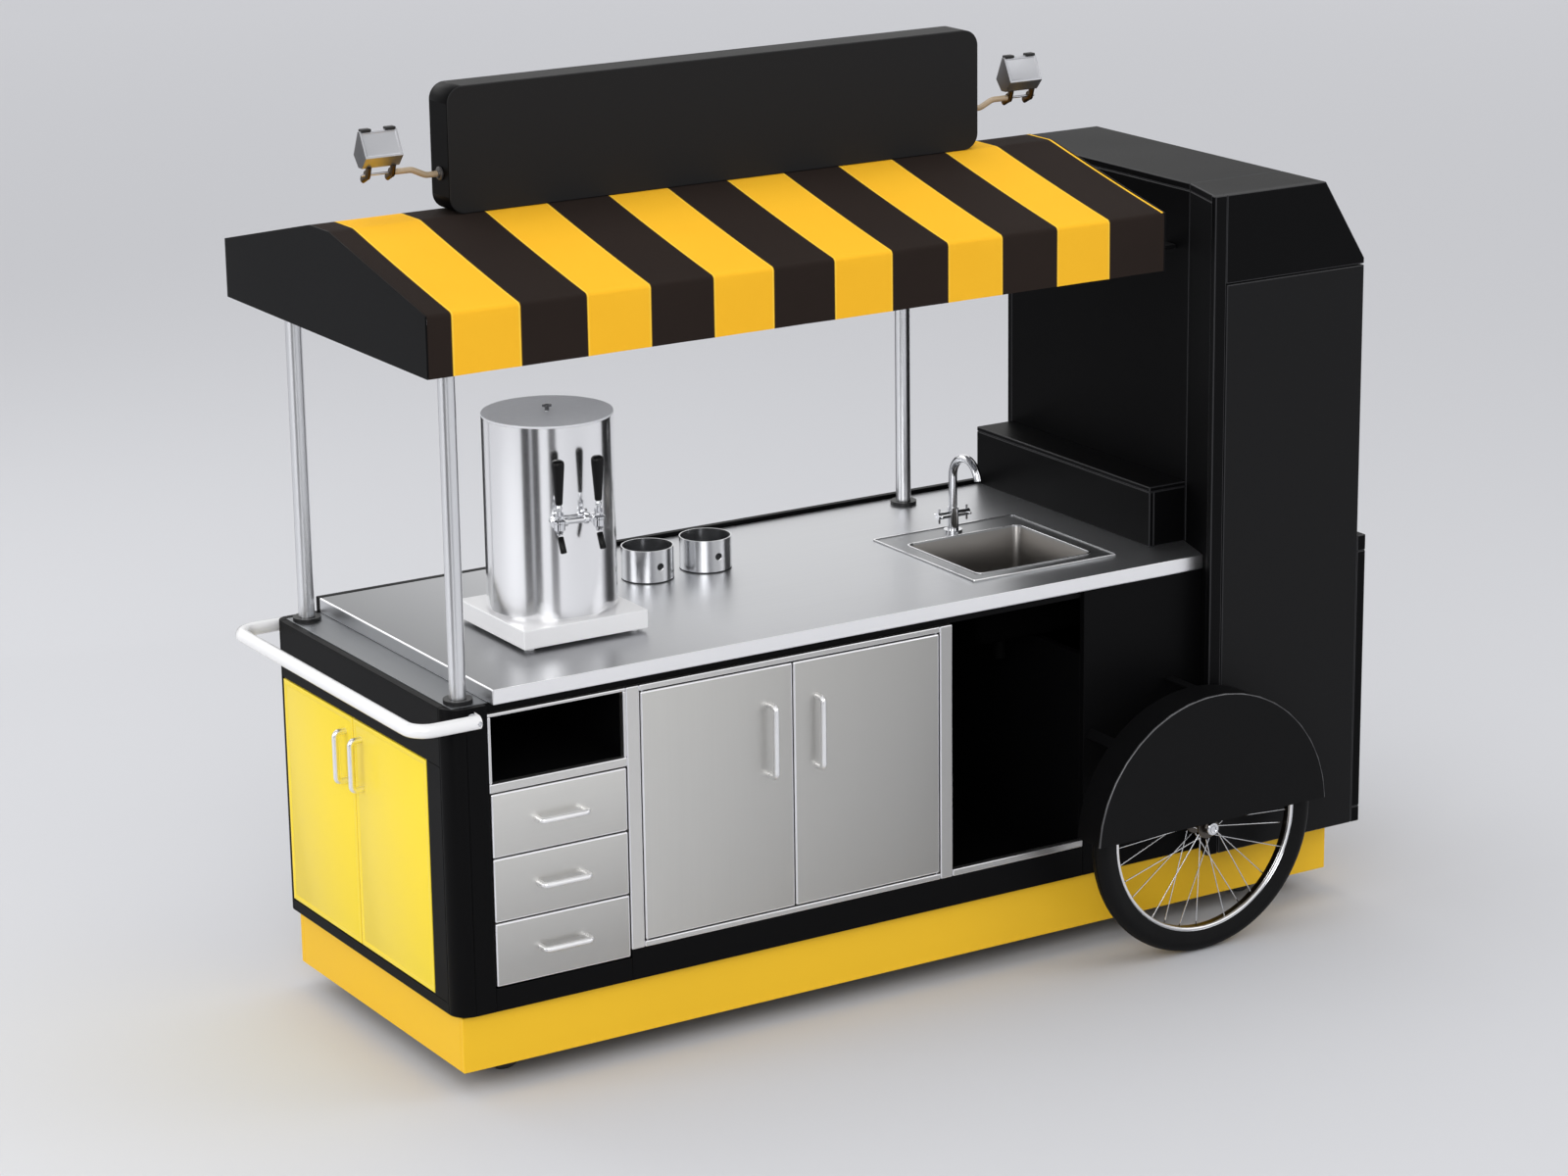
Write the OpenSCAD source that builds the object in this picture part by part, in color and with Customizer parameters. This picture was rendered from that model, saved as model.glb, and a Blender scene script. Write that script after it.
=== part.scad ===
// Coffee cart with cupboard body, striped canopy, sign box, sink, urn and a tall service tower.
// Millimetres, +Z up, front of the cart towards -Y, push handle at -X, tower at +X.

/* [Cart body] */
// Length of the body from the left end to the right side of the tower
body_length = 2480; // [2380:5:2700]
// Depth of the body from front to back
body_depth = 880; // [820:5:960]
// Height of the counter top above the floor
counter_height = 950; // [930:5:1000]
// Height of the underside of the body above the floor
body_bottom = 196; // [190:1:205]
// Thickness of the cabinet boards
panel = 18; // [16:1:20]
// Open joint between neighbouring boards and bars
joint_gap = 0.3; // [0.2:0.05:0.5]
// Radius of the front left corner post
corner_radius = 45; // [35:1:50]
// Radius of the back left corner post
rear_corner_radius = 30; // [20:1:32]

/* [Plinth and chassis] */
// Height of the lower edge of the plinth above the floor
plinth_bottom = 58; // [45:1:75]
// Distance of the plinth behind the body faces
plinth_inset = 20; // [10:1:35]
// Thickness of the plinth boards
plinth_board = 15; // [10:1:20]
// Shadow gap between plinth and body
plinth_reveal = 6; // [3:1:10]
// Side of the square chassis tube
rail_size = 50; // [40:1:52]
// Wall of the chassis tube
rail_wall = 3; // [2:0.5:5]
// Number of cross tubes in the chassis
cross_count = 5; // [3:1:7]

/* [Casters] */
// Diameter of the caster wheels
caster_d = 100; // [80:1:108]
// Width of the caster wheels
caster_w = 30; // [24:1:36]
// Distance from the swivel axis back to the caster axle
caster_trail = 34; // [20:1:40]
// Distance of the left caster swivel from the left end
caster_left = 210; // [190:5:300]
// Distance of the right casters from the right end
caster_right = 170; // [130:5:260]
// Distance of the casters from the front and back faces
caster_side = 132; // [125:1:170]
// Thickness of the caster mounting plates
caster_plate = 6; // [4:1:8]
// Diameter of the caster axles
caster_axle_d = 10; // [8:1:14]
// Diameter of the swivel pins
king_pin_d = 16; // [12:1:20]

/* [Big wheels] */
// Outer diameter of the tyre
wheel_d = 640; // [600:2:660]
// Width of the tyre
tyre_w = 50; // [38:1:54]
// Distance of the axle from the right end
wheel_from_right = 530; // [500:1:560]
// Distance of the wheel plane from the body face
wheel_offset = 140; // [136:1:146]
// Number of spokes in a wheel
spoke_count = 28; // [16:4:36]
// Diameter of a spoke
spoke_d = 2.6; // [2:0.1:4]
// Diameter of the stub axle
axle_d = 12; // [10:1:16]
// Space between the tyre tread and the fender
fender_gap = 12; // [10:1:24]
// Thickness of the fender sheet
fender_skin = 4; // [3:1:6]
// Distance of the fender face from the body face
fender_reach = 190; // [186:1:210]
// Depth of the fender's rim, from its face towards the body
fender_depth = 95; // [90:1:100]
// Height of the fender's lower edge above the axle
fender_cut = 18; // [14:1:40]

/* [Tower] */
// Width of the tower across its front
tower_width = 450; // [430:5:470]
// Height of the tower roof above the floor
tower_height = 1834; // [1750:2:1950]
// Distance that the tower front stands ahead of the body front
tower_step = 55; // [45:1:60]
// Set-back of the tower's left wall behind its front stile
tower_recess = 52; // [46:1:80]
// Depth of the slanted return behind the front stile
tower_return = 170; // [150:1:220]
// Width of the sloping cut at the roof's right edge
chamfer_width = 122; // [80:1:150]
// Height of the sloping cut at the roof's right edge
chamfer_drop = 199; // [150:1:240]
// Width of the tower's front stile
front_stile = 34; // [26:1:45]
// Distance from the tower roof down to the top edge of its front panel
front_panel_top = 216; // [204:2:334]

/* [Counter] */
// Thickness of the counter edge
counter_edge = 35; // [28:1:40]
// Length of the low ledge at the left end
ledge_length = 108; // [100:1:130]
// Thickness of the ledge plate
ledge_plate = 6; // [4:1:8]
// Width of the black rim round the ledge
ledge_rim = 20; // [19:1:26]
// Counter overhang at the front
counter_overhang = 8; // [5:1:15]
// Height of the upstand behind the counter
upstand = 10; // [6:1:30]
// Distance of the upstand from the left end
upstand_start = 740; // [640:1:900]
// Thickness of the splash box
splash_width = 108; // [80:1:120]
// Height of the splash box
splash_height = 150; // [100:1:200]
// Distance of the splash box from the body front
splash_front = 118; // [116:1:180]
// Thickness of the splash box boards
splash_board = 12; // [9:1:15]

/* [Sink] */
// Distance of the sink rim from the left end
sink_left = 1456; // [1430:1:1500]
// Distance of the sink rim from the body front
sink_front = 108; // [90:1:140]
// Length of the sink rim along the counter
sink_length = 410; // [380:1:430]
// Depth of the sink rim front to back
sink_depth = 436; // [420:1:460]
// Width of the rim at the front and the sides
sink_rim = 36; // [28:1:45]
// Width of the deck behind the bowl
sink_deck = 78; // [74:1:95]
// Depth of the bowl
bowl_drop = 180; // [140:1:200]
// Corner radius of the bowl
bowl_radius = 20; // [12:1:40]
// Thickness of the sink sheet
sink_sheet = 2; // [1.5:0.5:3]
// Diameter of the waste hole
waste_d = 60; // [50:1:70]
// Height of the tap spout's bend centre above the sink deck
spout_rise = 130; // [110:1:180]
// Radius of the tap spout's bend
spout_bend = 56; // [40:1:65]
// Diameter of the tap spout tube
spout_d = 16; // [14:1:18]

/* [Doors and drawers] */
// Open gap round doors and drawer fronts
door_gap = 3; // [2.8:0.1:4]
// Thickness of the doors and drawer fronts
door_thick = 18; // [16:1:20]
// Diameter of the pivot pins of the doors
pivot_d = 5; // [4:0.5:6]
// Distance of the pivot axis from the door's edge and face
pivot_inset = 6; // [5:0.5:6.5]
// Running clearance of the pins in their bores, on the radius
pin_play = 0.05; // [0.02:0.01:0.08]
// Distance of the drawers from the left end
drawer_left = 100; // [95:1:120]
// Width of a drawer front
drawer_width = 343; // [320:1:360]
// Height of a drawer front
drawer_height = 149; // [130:1:152]
// Height of the lowest drawer edge above the floor
drawer_base = 254; // [245:1:262]
// Depth of a drawer box
drawer_depth = 450; // [350:5:500]
// Thickness of the drawer box walls
drawer_wall = 12; // [9:1:15]
// Height of a drawer box
drawer_box_height = 105; // [80:1:115]
// Thickness of a drawer runner
runner_w = 12.5; // [10:0.5:15]
// Width of the steel trim round the shelf niche
niche_trim = 8; // [5:1:12]
// Depth of the shelf niche
niche_depth = 400; // [300:5:500]
// Width of a steel front door
front_door_width = 399; // [380:1:410]
// Height of the lower edge of the steel doors
front_door_base = 287; // [275:1:300]
// Distance from the counter top down to the upper edge of the steel doors
front_door_top = 73; // [72:1:110]
// Width of the stiles in the steel face frame
stile_w = 34; // [28:1:40]
// Height of the rails above and below the steel doors
frame_rail = 14; // [12:1:16]
// Width of the open niche under the sink
open_niche_width = 377; // [340:1:400]
// Depth of the open niche under the sink
open_niche_depth = 560; // [480:5:600]
// Distance of the end doors from the body front
end_door_front_edge = 114; // [85:1:140]
// Height of the lower edge of the end doors
end_door_base = 226; // [222:1:240]
// Distance from the counter top down to the upper edge of the end doors
end_door_top = 175; // [160:1:210]
// Length of a pull on the end doors, the hatch and the drawers
pull_length = 118; // [96:1:140]
// Length of the pull on a steel front door
front_pull_length = 168; // [120:1:190]
// Distance from a front door's upper edge down to the middle of its pull
front_pull_drop = 174; // [120:1:220]
// Diameter of the pull bar
pull_d = 10; // [8:1:12]
// Distance of the pull bar's axis from the door face
pull_reach = 30; // [24:1:36]
// Width of the frame round the end hatch
hatch_frame = 40; // [30:1:60]
// Distance that the end hatch frame stands proud of the tower
hatch_proud = 26; // [22:1:30]
// Height of the upper edge of the hatch frame
hatch_top = 940; // [900:1:1000]

/* [Push handle] */
// Distance of the handle bar's axis from the left end
handle_reach = 90; // [80:1:110]
// Diameter of the handle tube
handle_d = 32; // [28:1:36]
// Height of the handle bar, measured down from the counter top
handle_height = 60; // [58:1:80]
// Centre-line radius of the handle's bends
handle_bend = 48; // [40:1:60]
// Space between the handle tube and the body faces
handle_clear = 8; // [5:1:15]
// Diameter of the handle's mounting studs
handle_stud_d = 22; // [16:1:26]

/* [Canopy] */
// Distance that the canopy reaches past the left end
canopy_overhang = 50; // [30:1:90]
// Distance from the canopy's right end to the tower's left wall
canopy_tower_gap = 205; // [150:1:240]
// Depth of the canopy front to back
canopy_depth = 1010; // [960:2:1080]
// Height of the canopy's lower edge above the floor
canopy_bottom = 1678; // [1600:1:1750]
// Height of the valance
valance = 137; // [110:1:180]
// Height of the ridge above the valance
ridge_rise = 106; // [80:1:160]
// Width of the flat strip along the ridge
ridge_flat = 93; // [80:1:130]
// Thickness of the canopy cloth and gables
cloth = 4; // [3:0.5:6]
// Side of the square canopy tube
canopy_tube = 25; // [20:1:30]
// Diameter of the posts
post_d = 38; // [32:1:42]
// Wall of the post tube
post_wall = 2; // [1.5:0.5:3]
// Distance of the left posts from the left end
post_left = 56; // [50:1:62]
// Distance of the left posts from the front and back faces
post_side = 58; // [52:1:70]
// Distance of the back right post from the tower's left wall
post_right = 374; // [340:1:600]
// Distance of the back right post from the back face
post_right_side = 80; // [70:1:110]
// Diameter of the post flanges
flange_d = 66; // [54:1:70]
// Height of the post flanges
flange_h = 9; // [6:1:14]

/* [Sign and lights] */
// Length of the sign box
sign_length = 1408; // [1000:5:1500]
// Height of the sign box
sign_height = 285; // [200:1:320]
// Thickness of the sign box
sign_thick = 90; // [60:1:92]
// Corner radius of the sign box
sign_radius = 38; // [20:1:60]
// Wall of the sign frame
sign_wall = 12; // [8:1:16]
// Thickness of the sign's face panels
sign_face = 4; // [3:0.5:6]
// Distance of the sign's centre from the canopy's centre
sign_shift = 44; // [-40:1:60]
// Height of the light arms above the sign's lower edge
arm_height = 104; // [60:1:120]
// Length of a light arm
arm_length = 150; // [130:1:200]
// Diameter of a light arm
arm_d = 14; // [10:1:18]
// Width of a light head
head_w = 92; // [84:1:130]
// Distance from a light's tilt axis to the middle of its head
head_rise = 57; // [56:1:80]
// Diameter of the tilt pins
tilt_pin_d = 6; // [5:0.5:8]

/* [Urn and cups] */
// Distance of the urn's axis from the left end
urn_x = 455; // [400:1:470]
// Distance of the urn's axis from the body front
urn_y = 350; // [280:1:360]
// Diameter of the urn
urn_d = 300; // [260:2:306]
// Height of the urn
urn_height = 450; // [380:2:480]
// Wall of the urn
urn_wall = 3; // [2:0.5:5]
// Length of the urn base along the counter
urn_base_length = 320; // [310:1:360]
// Depth of the urn base
urn_base_depth = 320; // [312:1:340]
// Thickness of the urn base
urn_base_thick = 44; // [40:1:60]
// Height of the feet under the urn base
urn_foot = 8; // [6:1:24]
// Distance of a tap from the middle of the urn
tap_side = 47; // [45:1:65]
// Turn of the taps from the cart's front towards its left end
tap_turn = 8; // [0:1:30]
// Height of the tap pivots above the urn's lower edge
tap_height = 262; // [220:1:300]
// Length of a tap lever's grip
lever_grip = 105; // [80:1:130]
// Distance of the first cup from the left end
cup_x = 836; // [780:1:860]
// Distance between the two cups
cup_pitch = 160; // [135:1:200]
// Distance of the cups from the body front
cup_y = 578; // [540:1:620]
// Outer diameter of a cup
cup_d = 126; // [100:1:130]
// Height of a cup
cup_height = 80; // [60:1:100]
// Wall of a cup
cup_wall = 3; // [2:0.5:4]

/* [Hidden] */
$fn = 64;

// Length by which a cutting shape runs past the face that it opens
over = 1;

// Main planes: the box round the whole cart is centred on X and Y
reach_left = handle_reach + handle_d / 2;
reach_right = body_length + hatch_proud + pull_reach + pull_d / 2;
left_end = (reach_left - reach_right) / 2;
right_end = left_end + body_length;
front = -body_depth / 2;
back = body_depth / 2;
ledge_top = counter_height - counter_edge;
floor_top = body_bottom + panel;
plinth_top = body_bottom - plinth_reveal;

// Tower planes
stile_x = right_end - tower_width;
wall_x = stile_x + tower_recess;
tower_front = front - tower_step;
chamfer_x = right_end - chamfer_width;
chamfer_z = tower_height - chamfer_drop;
front_panel_z = tower_height - front_panel_top;
function cheek_x(y) = stile_x + (y - tower_front) * tower_recess / tower_return;

// Front stations along X
drawer_x0 = left_end + drawer_left;
drawer_x1 = drawer_x0 + drawer_width;
bay_x0 = drawer_x0 - door_gap;
bay_x1 = drawer_x1 + door_gap;
door_x0 = bay_x1 + stile_w;
door_x1 = door_x0 + 2 * front_door_width + 3 * door_gap;
niche_x0 = door_x1 + stile_w;
niche_x1 = niche_x0 + open_niche_width;
drawer_pitch = drawer_height + door_gap;
drawer_top = drawer_base + 3 * drawer_pitch;
shelf_z = drawer_top + panel + door_gap;
opening_z0 = front_door_base - door_gap;
door_top_z = counter_height - front_door_top;
opening_z1 = door_top_z + door_gap;
frame_z0 = opening_z0 - frame_rail;
frame_z1 = opening_z1 + frame_rail;
niche_top = frame_z1 - niche_trim;
drawer_rail_z = drawer_base - door_gap;
runner_gap = runner_w + joint_gap;
shadow_depth = 12;
runner_h = 42;
drawer_floor_lift = 16;
pull_edge = 38;
front_pull_edge = 62;
end_pull_drop = 100;

// End door opening in the left end frame
end_y0 = front + end_door_front_edge;
end_y1 = back - rear_corner_radius - door_gap;
end_door_width = (end_y1 - end_y0 - door_gap) / 2;
end_top_z = counter_height - end_door_top;
end_door_height = end_top_z - end_door_base;
front_door_height = door_top_z - front_door_base;

// Hatch opening in the right end of the tower
hatch_y0 = tower_front + hatch_frame;
hatch_y1 = back - 2 * hatch_frame;
hatch_z0 = body_bottom + hatch_frame;
hatch_z1 = hatch_top - hatch_frame;
hatch_width = hatch_y1 - hatch_y0 - 2 * door_gap;
hatch_height = hatch_z1 - hatch_z0 - 2 * door_gap;
pin_depth = 14;

// Chassis and casters
rail_y = back - caster_side;
rail_z = body_bottom - rail_size;
rail_x0 = left_end + plinth_inset + plinth_board + joint_gap;
rail_x1 = right_end - plinth_inset - plinth_board - joint_gap;
plate_z = rail_z - caster_plate - joint_gap;
plate_size = 90;
caster_x = [left_end + caster_left, right_end - caster_right];
fork_plate = 5;
fork_side = 2;
fork_gap = 0.3;
crown_z = caster_d + 4;
race_d = 62;

// Big wheels
wheel_x = right_end - wheel_from_right;
wheel_z = wheel_d / 2;
tyre_height = 46;
rim_height = 16;
rim_lip = 8;
rim_outer = wheel_d / 2 - tyre_height;
rim_inner = rim_outer - rim_height;
rim_w = 32;
spoke_lead = 28;
spoke_end_gap = 0.5;
spoke_side = 2.2;
spoke_at = 6;
hub_d = 34;
hub_w = 64;
hub_flange_d = 58;
hub_flange_w = 4;
hub_flange_at = 24;
axle_flange_d = 70;
axle_flange_w = 8;
nut_d = 22;
nut_w = 10;
axle_tail = 4;
spacer_d = axle_d + 10;
fender_r = wheel_d / 2 + fender_gap;

// Canopy and sign
canopy_x0 = left_end - canopy_overhang;
canopy_x1 = wall_x - canopy_tower_gap;
valance_top = canopy_bottom + valance;
ridge_z = valance_top + ridge_rise;
eave_y = canopy_depth / 2;
frame_y = eave_y - cloth - joint_gap;
frame_x0 = canopy_x0 + cloth + joint_gap;
frame_x1 = canopy_x1 - cloth - joint_gap;
frame_top = canopy_bottom + canopy_tube;
tie_w = 40;
tie_t = 10;
post_xy = [[left_end + post_left, front + post_side, ledge_top],
           [left_end + post_left, back - post_side, ledge_top],
           [wall_x - post_right, back - post_right_side, counter_height]];
sign_x = (canopy_x0 + canopy_x1) / 2 + sign_shift;
sign_z = ridge_z + joint_gap;
head_z = sign_z + arm_height;
head_x = [sign_x - sign_length / 2 - arm_length, sign_x + sign_length / 2 + arm_length];
lug_at = 30;
lug_w = 8;
lug_d = 22;
head_half = 41;
head_toe = 25;
head_shoulder = 26;
head_top = 81;
head_front = 31;
head_heel = 9;
head_sole = 9;
head_back = 31;
head_crown_front = 2;
head_crown_back = 6;

// Sink and tap
sink_x0 = left_end + sink_left;
sink_y0 = front + sink_front;
bowl_x0 = sink_x0 + sink_rim;
bowl_y0 = sink_y0 + sink_rim;
bowl_length = sink_length - 2 * sink_rim;
bowl_depth = sink_depth - sink_rim - sink_deck;
bowl_bottom = counter_height - bowl_drop;
bowl_clear = 2;
deck_z = counter_height + sink_sheet;
tap_x = sink_x0 + sink_length / 2;
tap_y = sink_y0 + sink_depth - sink_deck / 2;
tap_body_d = 28;
tap_body_h = 62;
tap_flange_d = 46;
tap_flange_h = 6;
valve_rise = 44;
valve_z = deck_z + valve_rise;
valve_half = 34;
valve_d = 18;
handle_pin_d = 8;
handle_l = 12;
spigot_d = 12;
spigot_depth = 24;

// Push handle
handle_z = counter_height - handle_height;

// Urn
urn_cx = left_end + urn_x;
urn_cy = front + urn_y;
urn_z = counter_height + urn_foot + urn_base_thick;
urn_top = urn_z + urn_height;
urn_skirt = 10;
urn_foot_rise = 8;
lever_z = urn_z + tap_height;
tap_out = 38;
tap_reach = urn_d / 2 + tap_out;
lever_pin_d = 4;
cheek_in = 4.3;
cheek_t = 3;

// Basic shapes

module block(x0, x1, y0, y1, z0, z1) {
  translate([x0, y0, z0]) cube([x1 - x0, y1 - y0, z1 - z0]);
}

module rod_x(x0, x1, y, z, d) {
  translate([x0, y, z]) rotate([0, 90, 0]) cylinder(d = d, h = x1 - x0);
}

module rod_y(x, y0, y1, z, d) {
  translate([x, y0, z]) rotate([-90, 0, 0]) cylinder(d = d, h = y1 - y0);
}

module rod_z(x, y, z0, z1, d) {
  translate([x, y, z0]) cylinder(d = d, h = z1 - z0);
}

// Square tube along X or Y, open at its ends
module tube_x(x0, x1, y, z, size, wall) {
  half = size / 2;
  difference() {
    block(x0, x1, y - half, y + half, z, z + size);
    block(x0 - over, x1 + over, y - half + wall, y + half - wall, z + wall, z + size - wall);
  }
}

module tube_y(x, y0, y1, z, size, wall) {
  half = size / 2;
  difference() {
    block(x - half, x + half, y0, y1, z, z + size);
    block(x - half + wall, x + half - wall, y0 - over, y1 + over, z + wall, z + size - wall);
  }
}

// Outline with four round corners, lower left corner at the origin
module round_outline(w, h, r) {
  translate([r, 0]) square([w - 2 * r, h]);
  translate([0, r]) square([w, h - 2 * r]);
  for (x = [r, w - r], y = [r, h - r]) translate([x, y]) circle(r);
}

// Outline in the YZ plane drawn out along X
module along_x(x0, x1) {
  translate([x0, 0, 0]) rotate([90, 0, 90]) linear_extrude(x1 - x0) children();
}

// Outline in the XZ plane drawn out along Y
module along_y(y0, y1) {
  translate([0, y1, 0]) rotate([90, 0, 0]) linear_extrude(y1 - y0) children();
}

// Chassis, plinth and casters

module chassis_frame() {
  half = plate_size / 2;
  inner = rail_y - rail_size / 2 - joint_gap;
  span = rail_x1 - rail_x0 - rail_size;
  color("dimgray") {
    for (side = [-1, 1]) {
      tube_x(rail_x0, rail_x1, side * rail_y, rail_z, rail_size, rail_wall);
      for (x = caster_x)
        translate([x, side * rail_y, plate_z]) block(-half, half, -half, half, 0, caster_plate);
      rod_z(caster_x[0], side * rail_y, crown_z + fork_plate + joint_gap, plate_z - joint_gap, king_pin_d);
    }
    for (i = [0 : cross_count - 1]) {
      x = rail_x0 + rail_size / 2 + span * i / (cross_count - 1);
      tube_y(x, -inner, inner, rail_z, rail_size, rail_wall);
    }
  }
}

module plinth_skirt() {
  x0 = left_end + plinth_inset;
  x1 = right_end - plinth_inset;
  y1 = back - plinth_inset;
  side = y1 - plinth_board - joint_gap;
  color("gold") {
    for (s = [-1, 1])
      translate([0, s * (y1 - plinth_board / 2), 0])
        block(x0, x1, -plinth_board / 2, plinth_board / 2, plinth_bottom, plinth_top);
    block(x0, x0 + plinth_board, -side, side, plinth_bottom, plinth_top);
    block(x1 - plinth_board, x1, -side, side, plinth_bottom, plinth_top);
  }
}

// Crown plate, swivel race, two legs and axle of one caster whose swivel stands at x, y
module caster_fork(x, y) {
  axle_x = x - caster_trail;
  leg_in = caster_w / 2 + fork_side;
  leg_out = leg_in + fork_plate;
  leg_half = 16;
  leg_tail = 14;
  leg_low = caster_d / 2 - leg_tail;
  block(axle_x - leg_half, x + race_d / 2, y - leg_out, y + leg_out, crown_z, crown_z + fork_plate);
  difference() {
    rod_z(x, y, crown_z + fork_plate + joint_gap, plate_z - fork_gap, race_d);
    rod_z(x, y, crown_z, plate_z, king_pin_d + 2 * pin_play);
  }
  for (s = [-1, 1])
    translate([0, y + s * (leg_in + fork_plate / 2), 0])
      block(axle_x - leg_half, axle_x + leg_half, -fork_plate / 2, fork_plate / 2, leg_low,
            crown_z - joint_gap);
  rod_y(axle_x, y - leg_in + joint_gap, y + leg_in - joint_gap, caster_d / 2, caster_axle_d);
}

module swivel_fork(side) {
  color("darkgray") caster_fork(caster_x[0], side * rail_y);
}

module fixed_caster_forks() {
  color("darkgray")
    for (side = [-1, 1]) caster_fork(caster_x[1], side * rail_y);
}

module caster_wheel(x, side) {
  r = caster_d / 2;
  half = caster_w / 2;
  edge = 5;
  bore = caster_axle_d / 2 + pin_play;
  color("black")
    translate([x - caster_trail, side * rail_y, r])
      rotate([90, 0, 0])
        rotate_extrude()
          polygon([[bore, -half], [r - edge, -half], [r, edge - half], [r, half - edge], [r - edge, half],
                   [bore, half]]);
}

// Cabinet

module carcass_panels() {
  g = joint_gap;
  inner_y0 = front + panel + g;
  inner_y1 = back - panel - g;
  divider_top = frame_z1 - g;
  drawer_back = inner_y0 + drawer_depth + 2 * panel;
  niche_back = front + open_niche_depth;
  ledge_end = left_end + ledge_length;
  color([0.11, 0.11, 0.12]) {
    // floor and the strip behind the end doors
    block(left_end + corner_radius + g, stile_x - g, inner_y0, inner_y1, body_bottom, floor_top);
    block(left_end + panel + g, left_end + corner_radius, front + corner_radius + g,
          back - rear_corner_radius - g, body_bottom, floor_top);
    // back panel, higher behind the counter than behind the ledge, and the upstand on it
    block(left_end + rear_corner_radius + g, ledge_end - g, back - panel, back, body_bottom, ledge_top);
    block(ledge_end, wall_x - g, back - panel, back, body_bottom, counter_height);
    block(left_end + upstand_start, wall_x - g, back - panel, back, counter_height + g,
          counter_height + upstand);
    // walls of the bays
    block(bay_x0 - panel, bay_x0, inner_y0, drawer_back, floor_top + g, divider_top);
    block(bay_x1, bay_x1 + panel, inner_y0, inner_y1, floor_top + g, divider_top);
    block(niche_x0 - panel, niche_x0, inner_y0, inner_y1, floor_top + g, divider_top);
    block(niche_x1, niche_x1 + panel, inner_y0, inner_y1, floor_top + g, bowl_bottom - panel);
    block(niche_x0 + g, niche_x1 - g, niche_back, niche_back + panel, floor_top + g, divider_top);
    // shelf and back of the niche above the drawers
    block(bay_x0 + g, bay_x1 - g, inner_y0, inner_y0 + niche_depth, shelf_z - panel, shelf_z);
    block(bay_x0 + g, bay_x1 - g, inner_y0 + niche_depth - panel, inner_y0 + niche_depth, shelf_z + g,
          divider_top);
    // front panel behind the wheel, base rails and the set-back rail under the counter
    block(niche_x1, cheek_x(front) - g, front, front + panel, body_bottom, ledge_top);
    block(bay_x0, bay_x1 - g, front, front + panel, body_bottom, drawer_rail_z);
    block(bay_x1, niche_x1 - g, front, front + panel, body_bottom, frame_z0);
    block(bay_x0, niche_x1 - g, front + shadow_depth, front + ledge_rim, frame_z1, ledge_top);
  }
}

// Quarter round post that fills the corner at x, y; sy points into the cart
module corner_post(x, y, r, sy) {
  difference() {
    intersection() {
      rod_z(x + r, y + sy * r, body_bottom, ledge_top, 2 * r);
      block(x, x + r, min(y, y + sy * r), max(y, y + sy * r), body_bottom, ledge_top);
    }
    block(left_end + ledge_rim, x + r + over, front + ledge_rim, back - ledge_rim,
          ledge_top - ledge_plate - joint_gap, ledge_top + over);
  }
}

module left_end_frame() {
  g = joint_gap;
  rail_y0 = front + corner_radius + g;
  rail_y1 = back - rear_corner_radius - g;
  color([0.11, 0.11, 0.12]) {
    corner_post(left_end, front, corner_radius, 1);
    corner_post(left_end, back, rear_corner_radius, -1);
    block(left_end + corner_radius + g, bay_x0 - g, front, front + panel, body_bottom, ledge_top);
    block(left_end, left_end + panel, rail_y0, end_y0 - door_gap, end_door_base - door_gap + g,
          end_top_z + door_gap - g);
    block(left_end, left_end + panel, rail_y0, rail_y1, body_bottom, end_door_base - door_gap);
    block(left_end, left_end + panel, rail_y0, rail_y1, end_top_z + door_gap, ledge_top);
  }
}

module front_face_frame() {
  g = joint_gap;
  y1 = front + panel;
  color("silver") {
    block(bay_x1, door_x0, front, y1, frame_z0, frame_z1);
    block(door_x1, niche_x0, front, y1, frame_z0, frame_z1);
    block(door_x0 + g, door_x1 - g, front, y1, frame_z0, opening_z0);
    block(door_x0 + g, door_x1 - g, front, y1, opening_z1, frame_z1);
    // rail and trim of the niche above the drawers
    block(bay_x0, bay_x1 - g, front, y1, drawer_top, shelf_z);
    block(bay_x0, bay_x0 + niche_trim, front, y1, shelf_z + g, niche_top - g);
    block(bay_x1 - g - niche_trim, bay_x1 - g, front, y1, shelf_z + g, niche_top - g);
    block(bay_x0, bay_x1 - g, front, y1, niche_top, frame_z1);
    // sill of the open niche
    block(niche_x0 + g, niche_x1 - g, front, y1, frame_z0, front_door_base);
  }
}

// Bar pull on two posts, in front of a door face at -Y; the bar runs along Z round the origin
module pull(length = pull_length) {
  half = length / 2;
  inner = pull_reach - pull_d / 2 - joint_gap;
  rotate([90, 0, 0]) {
    for (s = [-1, 1])
      translate([0, s * (half - pull_d), joint_gap]) cylinder(d = pull_d, h = inner - joint_gap);
    translate([0, -half, pull_reach]) rotate([-90, 0, 0]) cylinder(d = pull_d, h = length);
  }
}

// Door slab from the origin along X, face at y = 0; bores for pivot pins at the edge x = pin_x
module door_slab(w, h, pin_x) {
  difference() {
    cube([w, door_thick, h]);
    for (z = [-over, h - pin_depth])
      translate([pin_x, pivot_inset, z]) cylinder(d = pivot_d + 2 * pin_play, h = pin_depth + over);
  }
}

module cabinet_door(x, pin_x, pull_x) {
  color("lightgray")
    translate([x, front, front_door_base]) {
      door_slab(front_door_width, front_door_height, pin_x);
      translate([pull_x, 0, front_door_height - front_pull_drop]) pull(front_pull_length);
    }
}

module cabinet_door_left() {
  cabinet_door(door_x0 + door_gap, pivot_inset, front_door_width - front_pull_edge);
}

module cabinet_door_right() {
  cabinet_door(door_x1 - door_gap - front_door_width, front_door_width - pivot_inset, front_pull_edge);
}

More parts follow.
